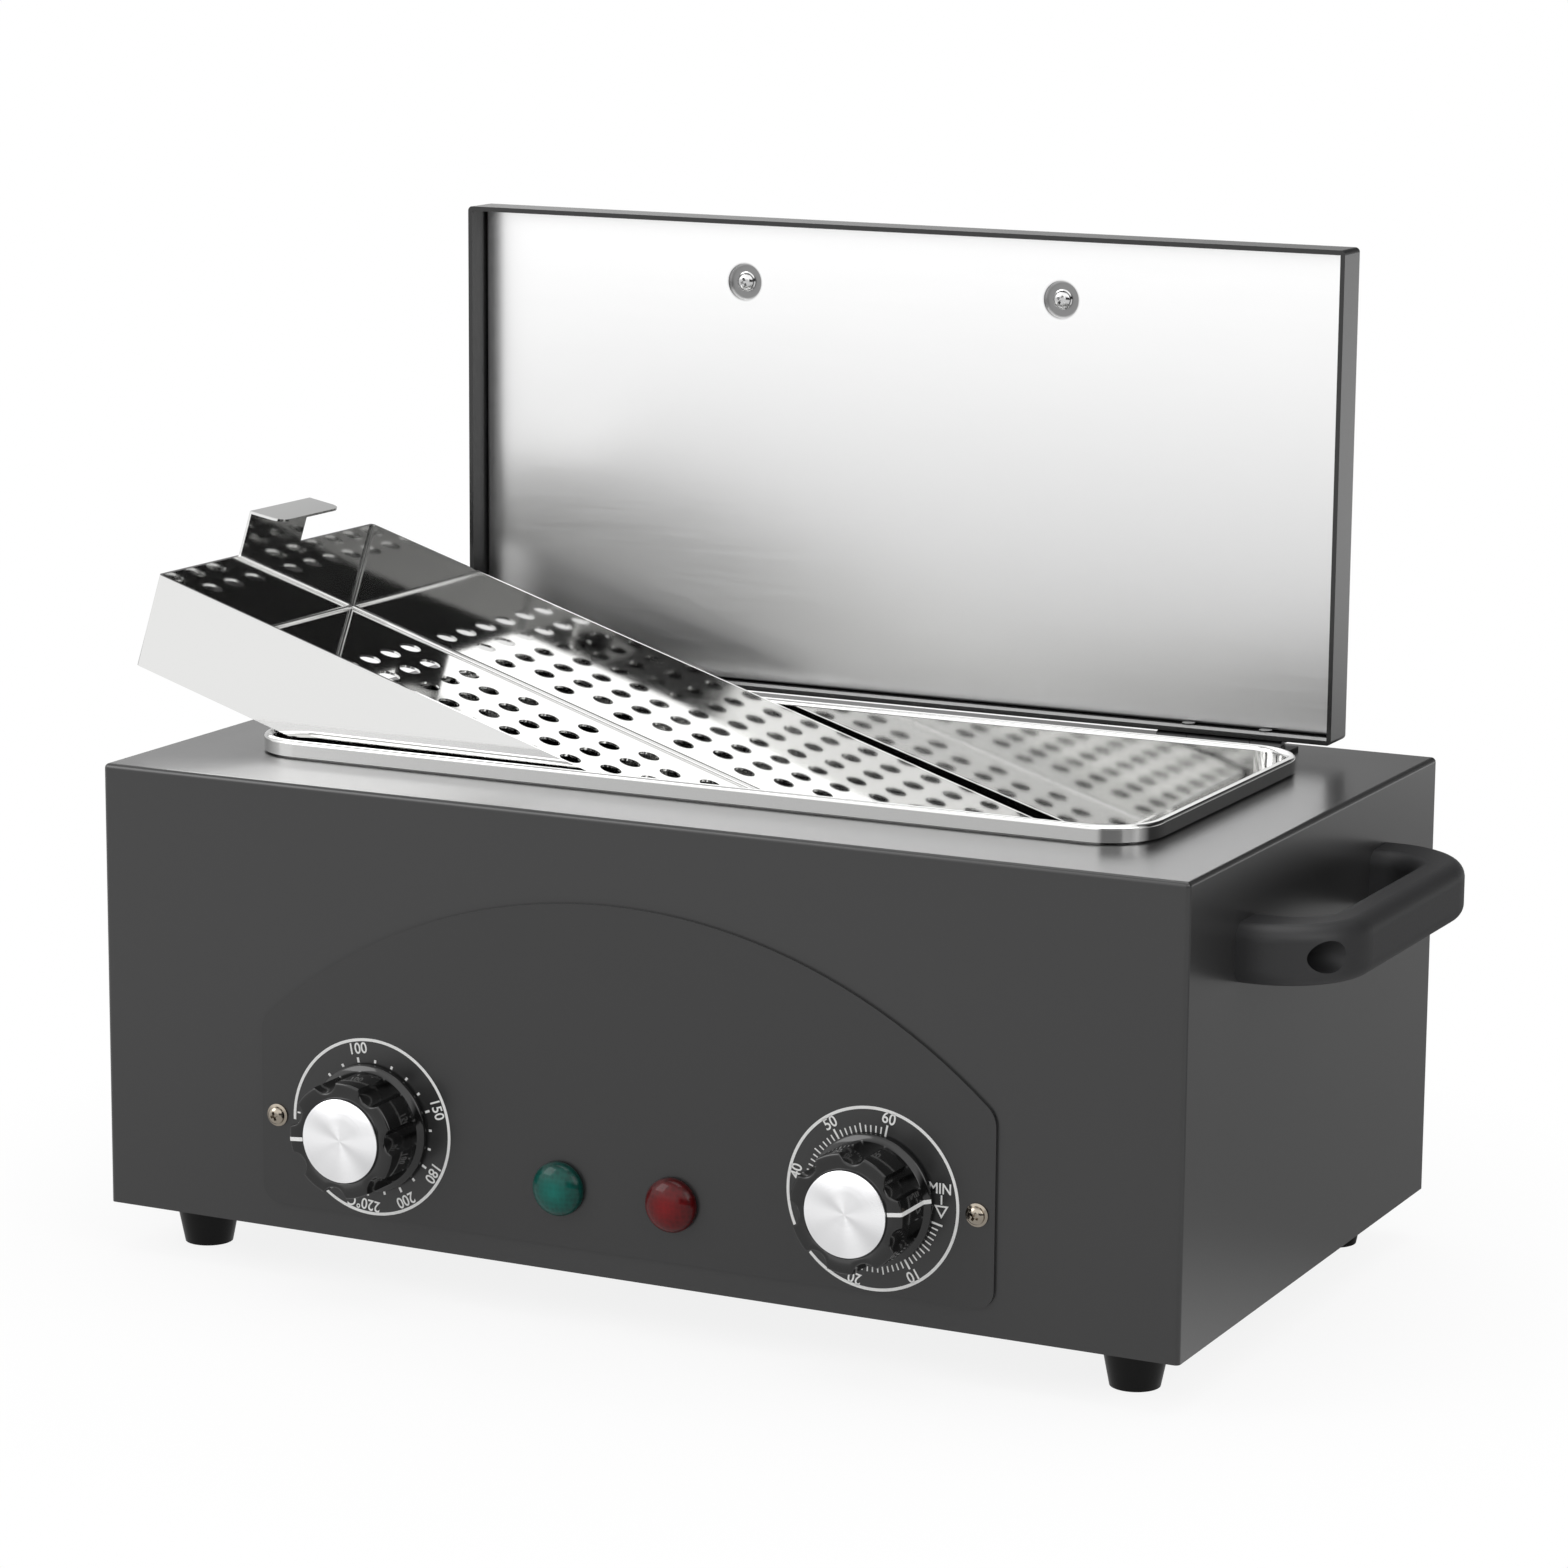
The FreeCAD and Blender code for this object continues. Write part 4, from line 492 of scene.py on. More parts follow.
# Thermostat and timer: devices in black plastic boxes behind the front of the case, each held by two
# screws. Their steel shafts pass through the panel to the knobs. The lamp holders and terminal block are
# of like plastic.
device_plastic = plain_finish("device_plastic", (0.02, 0.02, 0.022), metallic=0.0, sheen=0.45,
                              grain=1200.0, grain_depth=0.0001)
dress(device_plastic, "thermostat_body", "timer_body", "lamp_holder_green", "lamp_holder_red",
      "terminal_block")
dress(heater_steel, "thermostat_shaft", "timer_shaft")


# Dial scales: white ink screen-printed on the panel, with a ring, marks and numbers round each knob. The
# left one gives degrees and the right one minutes.
ink = plain_finish("white_ink", (0.80, 0.80, 0.79), metallic=0.0, sheen=0.5, grain=2200.0,
                   grain_depth=0.00002, spread=0.05)
ink_depth = 0.06
dial_across = 84.2
dial_level = case_low + 36.5
ring_radius = 27.2
ring_width = 0.9
number_height = 3.4
number_width_share = 0.92
arc_step = 2.5


def on_dial(angle, radius, spin=0.0):
    """The matrix that carries flat print to an angle clockwise from the top of a dial."""
    turn = -math.radians(angle)
    out = Matrix.Rotation(turn, 4, "Z") @ Matrix.Translation((0, radius * mm, 0))
    return out @ Matrix.Rotation(spin, 4, "Z")


def printed_arc(radius, width, start, end):
    """A flat band from one angle to another, clockwise from the top, spun from a short edge."""
    piece = begin("arc")
    draw([(0, radius - width / 2, 0), (0, radius + width / 2, 0)])
    bpy.ops.mesh.select_all(action="SELECT")
    steps = max(2, int((end - start) / arc_step))
    bpy.ops.mesh.spin(steps=steps, angle=math.radians(end - start), center=(0, 0, 0), axis=(0, 0, 1))
    bpy.ops.object.mode_set(mode="OBJECT")
    piece.data.transform(Matrix.Rotation(-math.radians(start), 4, "Z"))
    return piece


def printed_bar(angle, inner, outer, width):
    """A tick, drawn as a short edge and extruded outwards."""
    piece = begin("tick")
    draw([(-width / 2, inner, 0), (width / 2, inner, 0)])
    bpy.ops.mesh.select_all(action="SELECT")
    bpy.ops.mesh.extrude_region_move(TRANSFORM_OT_translate={"value": (0, (outer - inner) * mm, 0)})
    bpy.ops.object.mode_set(mode="OBJECT")
    piece.data.transform(on_dial(angle, 0))
    return piece


def printed_words(words, height, matrix, narrow=1.0):
    """Words in flat type, made a mesh and then placed. The height is that of a capital letter."""
    capital_share = 0.70
    boldness = 0.055
    bpy.ops.object.select_all(action="DESELECT")
    bpy.ops.object.text_add(location=(0, 0, 0))
    piece = bpy.context.object
    piece.data.body = words
    piece.data.size = height * mm / capital_share
    piece.data.offset = boldness * mm
    piece.data.align_x = "CENTER"
    piece.data.align_y = "CENTER"
    piece.data.resolution_u = 4
    bpy.ops.object.convert(target="MESH")
    piece = bpy.context.object
    piece.data.transform(matrix @ Matrix.Scale(narrow, 4, (1, 0, 0)))
    return piece


def print_dial(name, side, pieces):
    """Join the print of one dial, give it the thickness of the ink and set it on the panel."""
    scale = joined(name, pieces)
    bpy.ops.object.mode_set(mode="EDIT")
    bpy.ops.mesh.select_all(action="SELECT")
    bpy.ops.mesh.remove_doubles(threshold=merge_gap)
    bpy.ops.object.mode_set(mode="OBJECT")
    shape = bmesh.new()
    shape.from_mesh(scale.data)
    for face in shape.faces:
        if face.normal.z < 0:
            face.normal_flip()
    shape.to_mesh(scale.data)
    shape.free()
    apply(scale, "SOLIDIFY", thickness=ink_depth * mm, offset=1.0)
    scale.data.transform(facing((side * dial_across, panel_face, dial_level), (0, -1, 0)))
    fit(scale, "case", ink, "case_paint")


degrees_ring = (-92, 216)
start_tick = (-87, 25.2, 26.3, 0.5)
first_mark = -45
mark_step = 16.36
mark_count = 15
mark_inner = 20.2
mark_outer = 21.2
long_mark_outer = 21.8
mark_width = 0.75
degrees_radius = 24.4
degrees = (("100", -11), ("150", 70), ("180", 118.5), ("200", 151), ("220°C", 187))
marks = [printed_arc(ring_radius, ring_width, *degrees_ring), printed_bar(*start_tick)]
for step in range(mark_count):
    angle = first_mark + mark_step * step
    beside_number = min(abs(angle - place) for words, place in degrees) < mark_step / 2
    outer = long_mark_outer if beside_number else mark_outer
    marks.append(printed_bar(angle, mark_inner, outer, mark_width))
for words, angle in degrees:
    marks.append(printed_words(words, number_height, on_dial(angle, degrees_radius), number_width_share))
print_dial("thermostat_scale_print", -1, marks)

minutes_ring = (-114, 227)
minutes_radius = 25.0
minute_start = 103
minute_turn = 4.475
tens_mark = (19.5, 23.0, 0.6)
fives_mark = (19.8, 22.6, 0.42)
minute_mark = (19.9, 22.0, 0.42)
marks = [printed_arc(ring_radius, ring_width, *minutes_ring)]
for minute in range(61):
    inner, outer, width = minute_mark
    if minute % 10 == 0:
        inner, outer, width = tens_mark
    elif minute % 5 == 0:
        inner, outer, width = fives_mark
    marks.append(printed_bar(minute_start + minute_turn * minute, inner, outer, width))
for minute in range(10, 61, 10):
    matrix = on_dial(minute_start + minute_turn * minute, minutes_radius)
    marks.append(printed_words(str(minute), number_height, matrix, number_width_share))
unit_across = 21.5
unit_rise = 5.8
unit_height = 3.2
unit_width_share = 0.9
unit_place = Matrix.Translation((unit_across * mm, unit_rise * mm, 0))
marks.append(printed_words("MIN", unit_height, unit_place, unit_width_share))
arrow_across = 22.0
arrow_size = 2.6
arrow_drop = 0.4
arrow_line = 0.5
stem_low = 1.2
stem_high = 4.0
marks.append(printed_bar(0, stem_low, stem_high, arrow_line))
marks[-1].data.transform(Matrix.Translation((arrow_across * mm, 0, 0)))
bpy.ops.object.select_all(action="DESELECT")
bpy.ops.mesh.primitive_circle_add(vertices=3, radius=arrow_size * mm, fill_type="NGON")
arrow = bpy.context.object
bpy.ops.object.mode_set(mode="EDIT")
bpy.ops.mesh.select_all(action="SELECT")
bpy.ops.mesh.inset(thickness=arrow_line * mm)
bpy.ops.mesh.delete(type="ONLY_FACE")
bpy.ops.object.mode_set(mode="OBJECT")
arrow_place = Matrix.Translation((arrow_across * mm, -arrow_drop * mm, 0))
arrow.data.transform(arrow_place @ Matrix.Rotation(math.pi, 4, "Z"))
marks.append(arrow)
print_dial("timer_scale_print", 1, marks)


# Knobs: mouldings of glossy black plastic with a skirt, a body with seven flutes, a bore for the shaft
# and a recess for the cap. A white line is filled in over the front, the flank and the skirt.
gloss_black = plain_finish("knob_gloss_black", (0.006, 0.006, 0.006), metallic=0.0, sheen=0.1,
                           grain=300.0, grain_depth=0.00002)
knob_back = panel_face - 0.6
knob_height = 17.6
skirt_radius = 19.8
body_radius = 18.0
front_radius = 17.1
recess_radius = 13.3
recess_floor = 17
bore_radius = 3.3
bore_depth = 12
waist = 2.95
flutes = 7
flute_out = 19.4
flute_radius = 4.3


def fluted(angle):
    """Radius of the knob's body at an angle from a flute, with its ridges slightly rounded."""
    soft = 0.25
    part = 2 * math.pi / flutes
    off = (angle + part / 2) % part - part / 2
    reach = flute_radius ** 2 - (flute_out * math.sin(off)) ** 2
    if reach <= 0:
        return body_radius
    inward = flute_out * math.cos(off) - math.sqrt(reach)
    mix = max(0.0, min(1.0, 0.5 + (body_radius - inward) / (2 * soft)))
    return body_radius + (inward - body_radius) * mix - soft * mix * (1 - mix)


def make_knob(name, body, side, pointer, replaced):
    """One knob, turned, fluted and set on its shaft, and the white line that is filled into it."""
    knob = turned(name, [
        (0, bore_depth), (bore_radius, bore_depth), (bore_radius, 0),
        (19.6, 0), (skirt_radius, 0.2), (skirt_radius, 1.5), (19.65, 1.75), (19.3, 1.95), (18.3, 2.6),
        (body_radius, 2.9), (body_radius, 3.0), (body_radius, 4), (body_radius, 16.9),
        (17.93, 17.2), (17.75, 17.42), (17.45, 17.56), (front_radius, knob_height),
        (13.5, knob_height), (recess_radius, 17.45), (recess_radius, recess_floor), (0, recess_floor),
    ], 280)
    shape = bmesh.new()
    shape.from_mesh(knob.data)
    for vertex in shape.verts:
        radius = vertex.co.xy.length / mm
        if vertex.co.z / mm > waist and radius > recess_radius + 0.7:
            angle = math.atan2(vertex.co.y, vertex.co.x) - math.pi / flutes
            vertex.co.xy *= (radius + fluted(angle) - body_radius) / radius
    shape.to_mesh(knob.data)
    shape.free()
    place = facing((side * dial_across, knob_back, dial_level), (0, -1, 0))
    spin = Matrix.Rotation(math.radians(90 - pointer), 4, "Z")
    knob.data.transform(place @ spin)
    fit(knob, body, gloss_black, "knob_plastic", replaced, crease=38)

    line = begin(name + "_line")
    line_half = 0.6
    line_thickness = 0.05
    route = [(13.35, 17.62), (front_radius, 17.62), (17.5, 17.58), (17.8, 17.44), (17.97, 17.2),
             (18.03, 16.9), (18.03, 2.92), (18.33, 2.64), (19.32, 1.98), (19.68, 1.78), (19.84, 1.5)]
    start_out, start_up = route[0]
    draw([(start_out, -line_half, start_up), (start_out, line_half, start_up)])
    bpy.ops.mesh.select_all(action="SELECT")
    for (here_out, here_up), (there_out, there_up) in zip(route, route[1:]):
        step = Vector((there_out - here_out, 0, there_up - here_up)) * mm
        bpy.ops.mesh.extrude_region_move(TRANSFORM_OT_translate={"value": step})
    bpy.ops.mesh.select_all(action="SELECT")
    bpy.ops.mesh.normals_make_consistent(inside=False)
    bpy.ops.object.mode_set(mode="OBJECT")
    if sum(face.normal.z for face in line.data.polygons) < 0:
        line.data.flip_normals()
    apply(line, "SOLIDIFY", thickness=line_thickness * mm, offset=1.0)
    line.data.transform(place @ spin)
    fit(line, body, ink, "knob_plastic", crease=38)


make_knob("thermostat_fluted_knob", "thermostat_dial", -1, -95, "thermostat_knob")
make_knob("timer_fluted_knob", "timer_dial", 1, 83, "timer_knob")


# Caps: discs of bare aluminium, faced on a lathe and pressed into the knobs. Fine rings from the tool lie
# round the middle and spread the light, and sectors of painted reflection lie in the colour of the metal.
def spun_aluminium(name, side):
    """Bare metal with rings round the axis of one dial, and sectors of painted reflection in its colour.
    """
    material, start = new_material(name)
    place = start.node("TexCoord", output="Object")
    centred = start.node("VectorMath", {"operation": "SUBTRACT"}, {
        0: place, 1: (side * dial_across * mm, 0, dial_level * mm)})
    flat = start.node("VectorMath", {"operation": "MULTIPLY"}, {0: centred, 1: (1, 0, 1)})
    radius = start.node("VectorMath", {"operation": "LENGTH"}, {0: flat}, output="Value")
    rings = start.node("TexNoise", {"noise_dimensions": "1D"},
                       {"W": radius * 9000.0, "Scale": 1.0, "Detail": 2.0})
    rise = start.node("SeparateXYZ", {}, {0: flat}, output="Z")
    sweep = start.maths("ARCTAN2", rise, start.node("SeparateXYZ", {}, {0: flat}, output="X"))
    # Painted reflection: light and dark sectors round the middle of the cap, in its colour.
    painted_reflection_sectors = start.maths("SINE", sweep * 4.0 + 0.9) * 0.5 + start.maths("SINE", sweep * 6.0 + 2.0) * 0.3
    bump = start.node("Bump", {}, {"Strength": 0.7, "Distance": 0.00004, "Height": rings})
    surface(start, start.node("BsdfPrincipled", {}, {
        "Base Color": start.node("Mix", {"data_type": "RGBA"}, {
            "Factor": (rings * 0.3 + painted_reflection_sectors * 0.5 + 0.55).clipped(),
            6: (0.66, 0.66, 0.67, 1),
            7: (0.97, 0.97, 0.98, 1),
        }, output=2),
        "Metallic": 1.0,
        "Roughness": rings * 0.06 + 0.2,
        "Normal": bump,
    }))
    return material


cap_radius = 13.0
cap_middle = 1.21
for name, body, side, replaced in (("thermostat_disc_cap", "thermostat_dial", -1, "thermostat_cap"),
                                   ("timer_disc_cap", "timer_dial", 1, "timer_cap")):
    cap = turned(name, [(0, 0), (12.95, 0), (cap_radius, 0.1), (cap_radius, 0.85), (12.9, 1.08),
                        (12.7, 1.2), (6, cap_middle), (0, cap_middle)], 96)
    cap.data.transform(facing((side * dial_across, knob_back - recess_floor, dial_level), (0, -1, 0)))
    fit(cap, body, spun_aluminium(name + "_metal", side), "spun_aluminium", replaced)


# Lamps: moulded lenses of green and red plastic, domed outside and cut to fine facets inside. Each is
# pressed by its spigot into a holder, over a neon lamp.
lamp_across = 19
lamp_level = case_low + 26


def lens_plastic(name, deep, light, side):
    """Coloured plastic for one lens, painted lighter to the middle as light through it, deeper at the
    edge.
    """
    material, start = new_material(name)
    place = start.node("TexCoord", output="Object")
    facets = start.node("TexVoronoi", {"feature": "F1"},
                        {"Vector": place, "Scale": 620.0, "Randomness": 0.35}, output="Distance")
    cloud = start.node("TexNoise", {}, {"Vector": place, "Scale": 260.0, "Detail": 2.0})
    centred = start.node("VectorMath", {"operation": "SUBTRACT"}, {
        0: place, 1: (side * lamp_across * mm, panel_face * mm, lamp_level * mm)})
    flat = start.node("VectorMath", {"operation": "MULTIPLY"}, {0: centred, 1: (1, 0, 1)})
    out = start.node("VectorMath", {"operation": "LENGTH"}, {0: flat}, output="Value")
    # Painted light: the colour grows lighter towards the middle, as light through the plastic.
    inward = (1 - out * 118.0).clipped()
    tone = start.node("Mix", {"data_type": "RGBA"}, {
        "Factor": (facets * 0.3 + cloud * 0.2 + inward * 0.7 - 0.1).clipped(),
        6: (*deep, 1),
        7: (*light, 1),
    }, output=2)
    bump = start.node("Bump", {}, {"Strength": 0.25, "Distance": 0.0002, "Height": facets})
    surface(start, start.node("BsdfPrincipled", {}, {
        "Base Color": tone,
        "Roughness": cloud * 0.1 + 0.3,
        "Specular IOR Level": 0.1,
        "Coat Weight": 0.4,
        "Coat Roughness": 0.03,
        "Coat IOR": 1.4,
        "Normal": bump,
    }))
    return material


lens_radius = 8.25
lens_height = 5.4
dome_low = 1.3
dome_steps = 14
spigot_radius = 5.9
spigot_length = 12
for colour, side, deep, light in (("green", -1, (0.0004, 0.016, 0.013), (0.001, 0.145, 0.115)),
                                  ("red", 1, (0.022, 0.0004, 0.0008), (0.20, 0.003, 0.005))):
    angles = [step * math.pi / 2 / dome_steps for step in range(dome_steps)]
    dome = [(lens_radius * math.cos(angle), dome_low + (lens_height - dome_low) * math.sin(angle))
            for angle in angles]
    lens_outline = [(0, -spigot_length), (spigot_radius, -spigot_length), (spigot_radius, 0), (8.0, 0),
                    (lens_radius, 0.3)] + dome + [(0, lens_height)]
    lamp_lens = turned("%s_domed_lens" % colour, lens_outline, 64)
    lamp_lens.data.transform(facing((side * lamp_across, panel_face, lamp_level), (0, -1, 0)))
    plastic = lens_plastic("%s_lens_plastic" % colour, deep, light, side)
    fit(lamp_lens, "case", plastic, "%s_lens" % colour, "lamp_%s" % colour, crease=50)


# Handles: mouldings of matt black plastic, one on each side and one on the lid. Blackened screws in deep
# counterbores hold the side handles to nuts behind the sheet.
handle_plastic = plain_finish("handle_plastic", (0.020, 0.020, 0.021), metallic=0.0, sheen=0.50,
                              grain=1400.0, grain_depth=0.0001, gloss=0.4)
dress(handle_plastic, "handle_left", "handle_right", "lid_handle")
black_steel = plain_finish("blackened_steel", (0.03, 0.03, 0.03), metallic=1.0, sheen=0.4, grain=900.0,
                           grain_depth=0.00005)
dress(black_steel, "side_handle_screws")


# Lid: a folded shell of painted sheet, and in it a liner of satin-polished sheet. Two zinc-plated screws
# in pressed dimples of the liner pass through both to nuts in the handle.
# Painted shade: the lid's coat is the case's paint at half its shade, to darken the edges of the lid.
shaded_lid_paint = powder_coat("lid_powder_coat_painted_shade", shade=0.012, sheen=0.36, grain=2600.0)
dress(shaded_lid_paint, "lid_shell")
case_height = 140
lid_edge_back = 78
liner_recess = 9.8
dimple_depth = 1.6
liner_seat = lid_edge_back + liner_recess + dimple_depth
lid_base = 5.4
lid_handle_up = 133
lid_handle_level = case_low + case_height + lid_base + lid_handle_up
handle_screw_across = 56


def satin_steel(name, low_shade, high_shade, sheen):
    """Satin sheet painted brighter to the top, and painted dark as shade in the screws' dimples."""
    material, start = new_material(name)
    place = start.node("TexCoord", output="Object")
    rise = start.node("SeparateXYZ", {}, {0: place}, output="Z")
    # Painted light: the colour grows brighter from the bottom of the liner to the top.
    painted_height_light = start.node("Mix", {"data_type": "RGBA"}, {
        "Factor": (rise * 6.5 - 1.1).clipped(),
        6: (low_shade, low_shade, low_shade, 1),
        7: (high_shade, high_shade, high_shade, 1),
    }, output=2)
    from_middle = start.maths("ABSOLUTE", start.node("SeparateXYZ", {}, {0: place}, output="X"))
    aside = from_middle - handle_screw_across * mm
    above = rise - lid_handle_level * mm
    out = start.maths("SQRT", aside * aside + above * above)
    # Painted shade: a dark disc in the dimple round each screw.
    shaded = start.node("Mix", {"data_type": "RGBA"}, {
        "Factor": (5.2 - out * 800.0).clipped() * 0.9,
        6: painted_height_light,
        7: (0.16, 0.16, 0.16, 1),
    }, output=2)
    stretched = start.node("Mapping", {}, {"Vector": place, "Scale": (1.5, 60.0, 60.0)})
    grain = start.node("TexNoise", {}, {"Vector": stretched, "Scale": 20.0, "Detail": 4.0})
    bump = start.node("Bump", {}, {"Strength": 0.15, "Distance": 0.00005, "Height": grain})
    surface(start, start.node("BsdfPrincipled", {}, {
        "Base Color": shaded,
        "Metallic": 1.0,
        "Roughness": grain * 0.08 + sheen,
        "Normal": bump,
    }))
    return material


liner_steel = satin_steel("liner_satin_steel", low_shade=0.64, high_shade=0.96, sheen=0.27)
dress(liner_steel, "lid_liner")
bright_steel = plain_finish("bright_zinc_plating", (0.55, 0.55, 0.55), metallic=1.0, sheen=0.12,
                            grain=900.0, grain_depth=0.00005)
lid_screw = pan_screw("lid_screw", shank=4, length=20, head=6.5, height=2.0, flange=0.8)
screw_set("liner_pan_screws", "lid", "lid_handle_screws", lid_screw,
          [(side * handle_screw_across, liner_seat, lid_handle_level) for side in (-1, 1)], (0, -1, 0),
          bright_steel)


# Hinges: two butt hinges of sheet steel, painted black. Rivets hold their leaves to the top of the case
# and to the skirt of the lid, and bare pins join the leaves.
hinge_paint = plain_finish("hinge_black", (0.012, 0.012, 0.013), metallic=0.0, sheen=0.38, grain=1200.0,
                           grain_depth=0.00005)
dress(hinge_paint, "hinge_case_leaf_left", "hinge_case_leaf_right", "hinge_lid_leaf_left",
      "hinge_lid_leaf_right")
rivet_steel = plain_finish("rivet_steel", (0.10, 0.10, 0.10), metallic=1.0, sheen=0.3, grain=900.0,
                           grain_depth=0.00005)
dress(rivet_steel, "case_rivets", "lid_rivets", "hinge_pin_left", "hinge_pin_right")


# Cord gland: a gland of black nylon through the rear wall, where the cord would come in. Its nut holds
# it from the inside.
nylon = plain_finish("gland_nylon", (0.014, 0.014, 0.015), metallic=0.0, sheen=0.35, grain=900.0,
                     grain_depth=0.0001)
dress(nylon, "cord_gland", "gland_nut")


# Tray: a box folded from mirror-polished sheet with a pull tab, and a floor of the same sheet with rows
# of round punched holes. It is loose, and leans from the floor of the well over the rim.
tray_steel = polished_steel("tray_mirror_steel", shade=0.80, sheen=0.025, dent=0.0009, dent_scale=9.0)
dress(tray_steel, "tray")
tray_length = 280
tray_width = 127
tray_gauge = 0.8
tray_inside = (tray_length - 2 * tray_gauge, tray_width - 2 * tray_gauge)
hole_pitch = 12.7
hole_row = 11.9
hole_radius = 3.6
hole_rows = 19
hole_columns = 9
bpy.ops.object.select_all(action="DESELECT")
bpy.ops.mesh.primitive_plane_add(size=2 * mm, location=(0, 0, 0))
cell = bpy.context.object
bpy.ops.object.mode_set(mode="EDIT")
bpy.ops.transform.resize(value=(hole_row / 2, hole_pitch / 2, 1))
bpy.ops.mesh.subdivide(number_cuts=1)
bpy.ops.mesh.delete(type="ONLY_FACE")
shape = bmesh.from_edit_mesh(cell.data)
middle = [vertex for vertex in shape.verts if vertex.co.length < mm * 0.0001]
bmesh.ops.delete(shape, geom=middle, context="VERTS")
bmesh.update_edit_mesh(cell.data)
bpy.ops.mesh.primitive_circle_add(vertices=16, radius=hole_radius * mm, location=(0, 0, 0))
bpy.ops.mesh.select_all(action="SELECT")
bpy.ops.mesh.bridge_edge_loops()
bpy.ops.object.mode_set(mode="OBJECT")
strips = []
for odd in (0, 1):
    strip_start = Matrix.Translation((0, -(hole_columns - 1 - odd) / 2 * hole_pitch * mm, 0))
    strip = copied(cell, "strip", strip_start)
    apply(strip, "ARRAY", count=hole_columns - odd, use_relative_offset=False, use_constant_offset=True,
          constant_offset_displace=(0, hole_pitch * mm, 0))
    strip.data.transform(Matrix.Translation(((odd - (hole_rows - 1) / 2) * hole_row * mm, 0, 0)))
    apply(strip, "ARRAY", count=(hole_rows + 1 - odd) // 2, use_relative_offset=False,
          use_constant_offset=True, constant_offset_displace=(2 * hole_row * mm, 0, 0))
    strips.append(strip)
remove(cell)
tray_sheet = joined("tray_punched_floor", strips)
bpy.ops.object.mode_set(mode="EDIT")
bpy.ops.mesh.select_all(action="SELECT")
bpy.ops.mesh.remove_doubles(threshold=mm * 0.01)
shape = bmesh.from_edit_mesh(tray_sheet.data)
for face in shape.faces:
    face.select_set(False)


def round_hole(edge):
    """Whether an edge lies on the rim of a hole."""
    middle = (edge.verts[0].co + edge.verts[1].co) / 2 / mm
    row = round(middle.x / hole_row + (hole_rows - 1) / 2)
    shift = (hole_columns - 1 - row % 2) / 2
    column = round(middle.y / hole_pitch + shift)
    centre = Vector(((row - (hole_rows - 1) / 2) * hole_row, (column - shift) * hole_pitch))
    return (middle.xy - centre).length < hole_radius * 1.05


for edge in shape.edges:
    if len(edge.link_faces) < 2 and not round_hole(edge):
        edge.select_set(True)
corners = [shape.verts.new((x * tray_inside[0] / 2 * mm, y * tray_inside[1] / 2 * mm, 0))
           for x, y in ((-1, -1), (1, -1), (1, 1), (-1, 1))]
for here, there in zip(corners, corners[1:] + corners[:1]):
    shape.edges.new((here, there)).select_set(True)
bmesh.update_edit_mesh(tray_sheet.data)
bpy.ops.mesh.fill(use_beauty=True)
bpy.ops.mesh.select_all(action="SELECT")
bpy.ops.mesh.normals_make_consistent(inside=False)
bpy.ops.object.mode_set(mode="OBJECT")
if sum(face.normal.z * face.area for face in tray_sheet.data.polygons) < 0:
    tray_sheet.data.flip_normals()
apply(tray_sheet, "SOLIDIFY", thickness=tray_gauge * mm, offset=1.0)
well_length = 295.6
well_depth = 66
rim_rise = 5.6
rim_inner_round = 1.6
seat_gap = 0.3
tray_overhang = 57
tray_rim_space = 2.65
tray_back = 1.2
tray_yaw = math.radians(-1.0)
tray_tilt = math.asin(well_depth / (tray_length - tray_overhang))
rim_top = case_low + case_height + rim_rise
tray_level = rim_top - well_depth + seat_gap + tray_length / 2 * math.sin(tray_tilt)
over_rim = (rim_top - rim_inner_round - tray_level) * math.cos(tray_tilt)
from_rim = (over_rim + rim_inner_round + tray_rim_space) / math.sin(tray_tilt)
tray_left = from_rim - well_length / 2 - rim_inner_round
tray_place = Vector((tray_left, tray_back, tray_level))
tray_set = (Matrix.Translation(tray_place * mm) @ Matrix.Rotation(tray_yaw, 4, "Z")
            @ Matrix.Rotation(tray_tilt, 4, "Y"))
tray_sheet.data.transform(tray_set)
fit(tray_sheet, "tray", tray_steel, "tray_steel", "tray_floor")

fold_radius = 1.2
fold_sink = 0.05
fold_steps = 6
wall_across = tray_length / 2 - tray_gauge
wall_aside = tray_width / 2 - tray_gauge
wall_top = 30.8


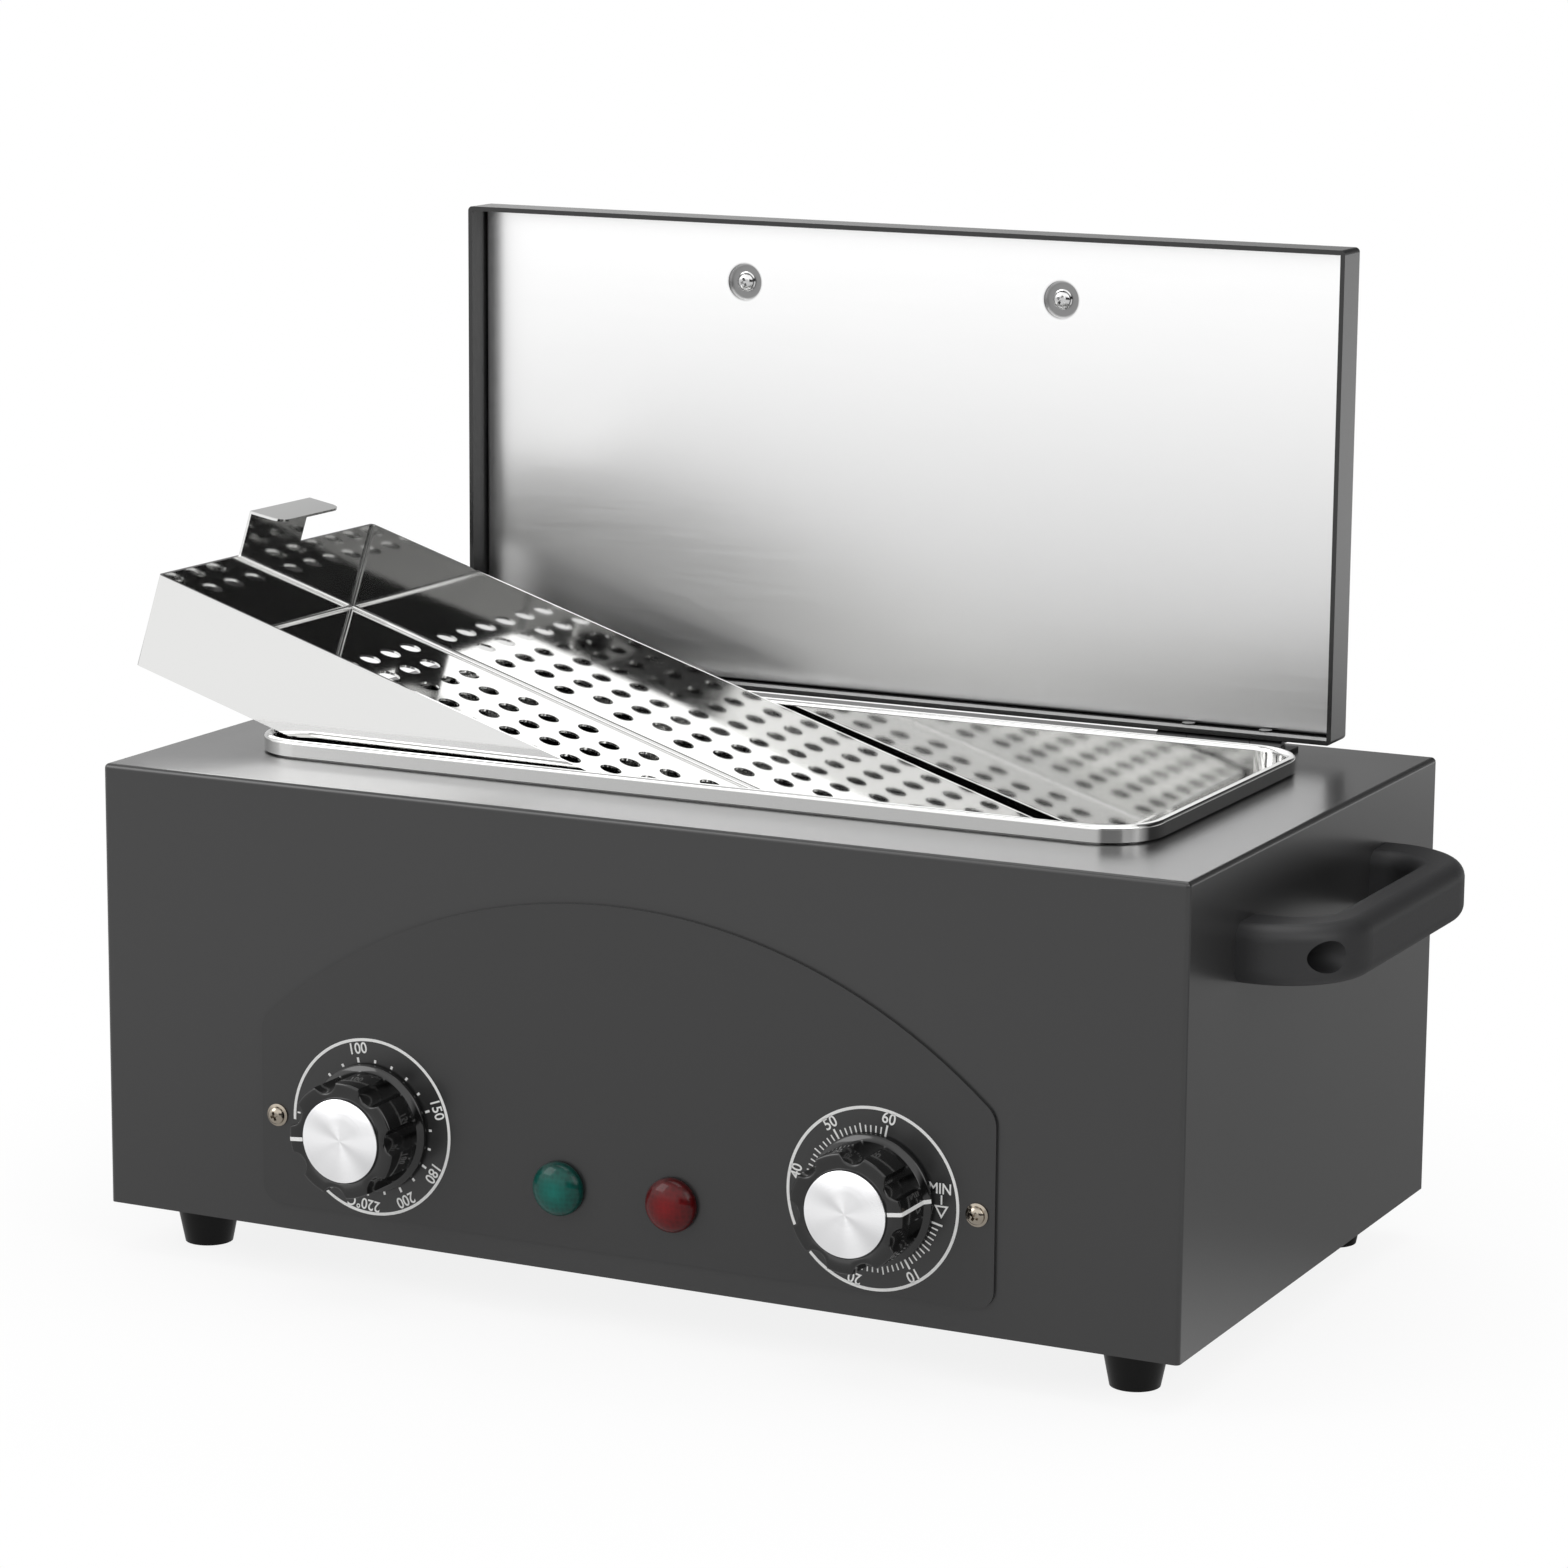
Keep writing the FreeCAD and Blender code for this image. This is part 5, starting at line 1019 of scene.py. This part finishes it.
def fold(name, length, matrix):
    """The rounded inside of a fold in the tray, drawn across the corner and extruded along it."""
    piece = begin(name)
    turns = [step * math.pi / 2 / fold_steps for step in range(fold_steps + 1)]
    arc = [(fold_radius * (1 - math.sin(turn)), fold_radius * (1 - math.cos(turn)), 0) for turn in turns]
    outline = [(-fold_sink, -fold_sink, 0), (fold_radius, -fold_sink, 0)] + arc
    draw(outline + [(-fold_sink, fold_radius, 0)])
    bpy.ops.mesh.select_all(action="SELECT")
    bpy.ops.mesh.edge_face_add()
    bpy.ops.mesh.extrude_region_move(TRANSFORM_OT_translate={"value": (0, 0, length * mm)})
    bpy.ops.mesh.select_all(action="SELECT")
    bpy.ops.mesh.normals_make_consistent(inside=False)
    bpy.ops.object.mode_set(mode="OBJECT")
    piece.data.transform(matrix)
    return piece


folds = []
for quarter, (end, side) in enumerate(((-1, -1), (1, -1), (1, 1), (-1, 1))):
    corner = Matrix.Translation(Vector((end * wall_across, side * wall_aside, tray_gauge)) * mm)
    upright = corner @ Matrix.Rotation(quarter * math.pi / 2, 4, "Z")
    folds.append(fold("upright_fold", wall_top - tray_gauge, upright))
for side in (-1, 1):
    long_start = Matrix.Translation(Vector((-wall_across, side * wall_aside, tray_gauge)) * mm)
    lengthways = Matrix(((0, 0, 1, 0), (-side, 0, 0, 0), (0, 1, 0, 0), (0, 0, 0, 1)))
    folds.append(fold("floor_fold", 2 * wall_across, long_start @ lengthways))
    short_start = Matrix.Translation(Vector((side * wall_across, -wall_aside, tray_gauge)) * mm)
    crossways = Matrix(((-side, 0, 0, 0), (0, 0, 1, 0), (0, 1, 0, 0), (0, 0, 0, 1)))
    folds.append(fold("floor_fold", 2 * wall_aside, short_start @ crossways))
tray_folds = joined("tray_rounded_folds", folds)
bpy.ops.object.mode_set(mode="EDIT")
bpy.ops.mesh.select_all(action="SELECT")
bpy.ops.mesh.normals_make_consistent(inside=False)
bpy.ops.object.mode_set(mode="OBJECT")
tray_folds.data.transform(tray_set)
# Painted shade: the folds take a darker copy of the tray's steel, so that each fold shows as a line.
shaded_fold_steel = polished_steel("tray_fold_painted_shade_steel", shade=0.52, sheen=0.12, dent=0.0004)
fit(tray_folds, "tray", shaded_fold_steel, "tray_steel", crease=40)
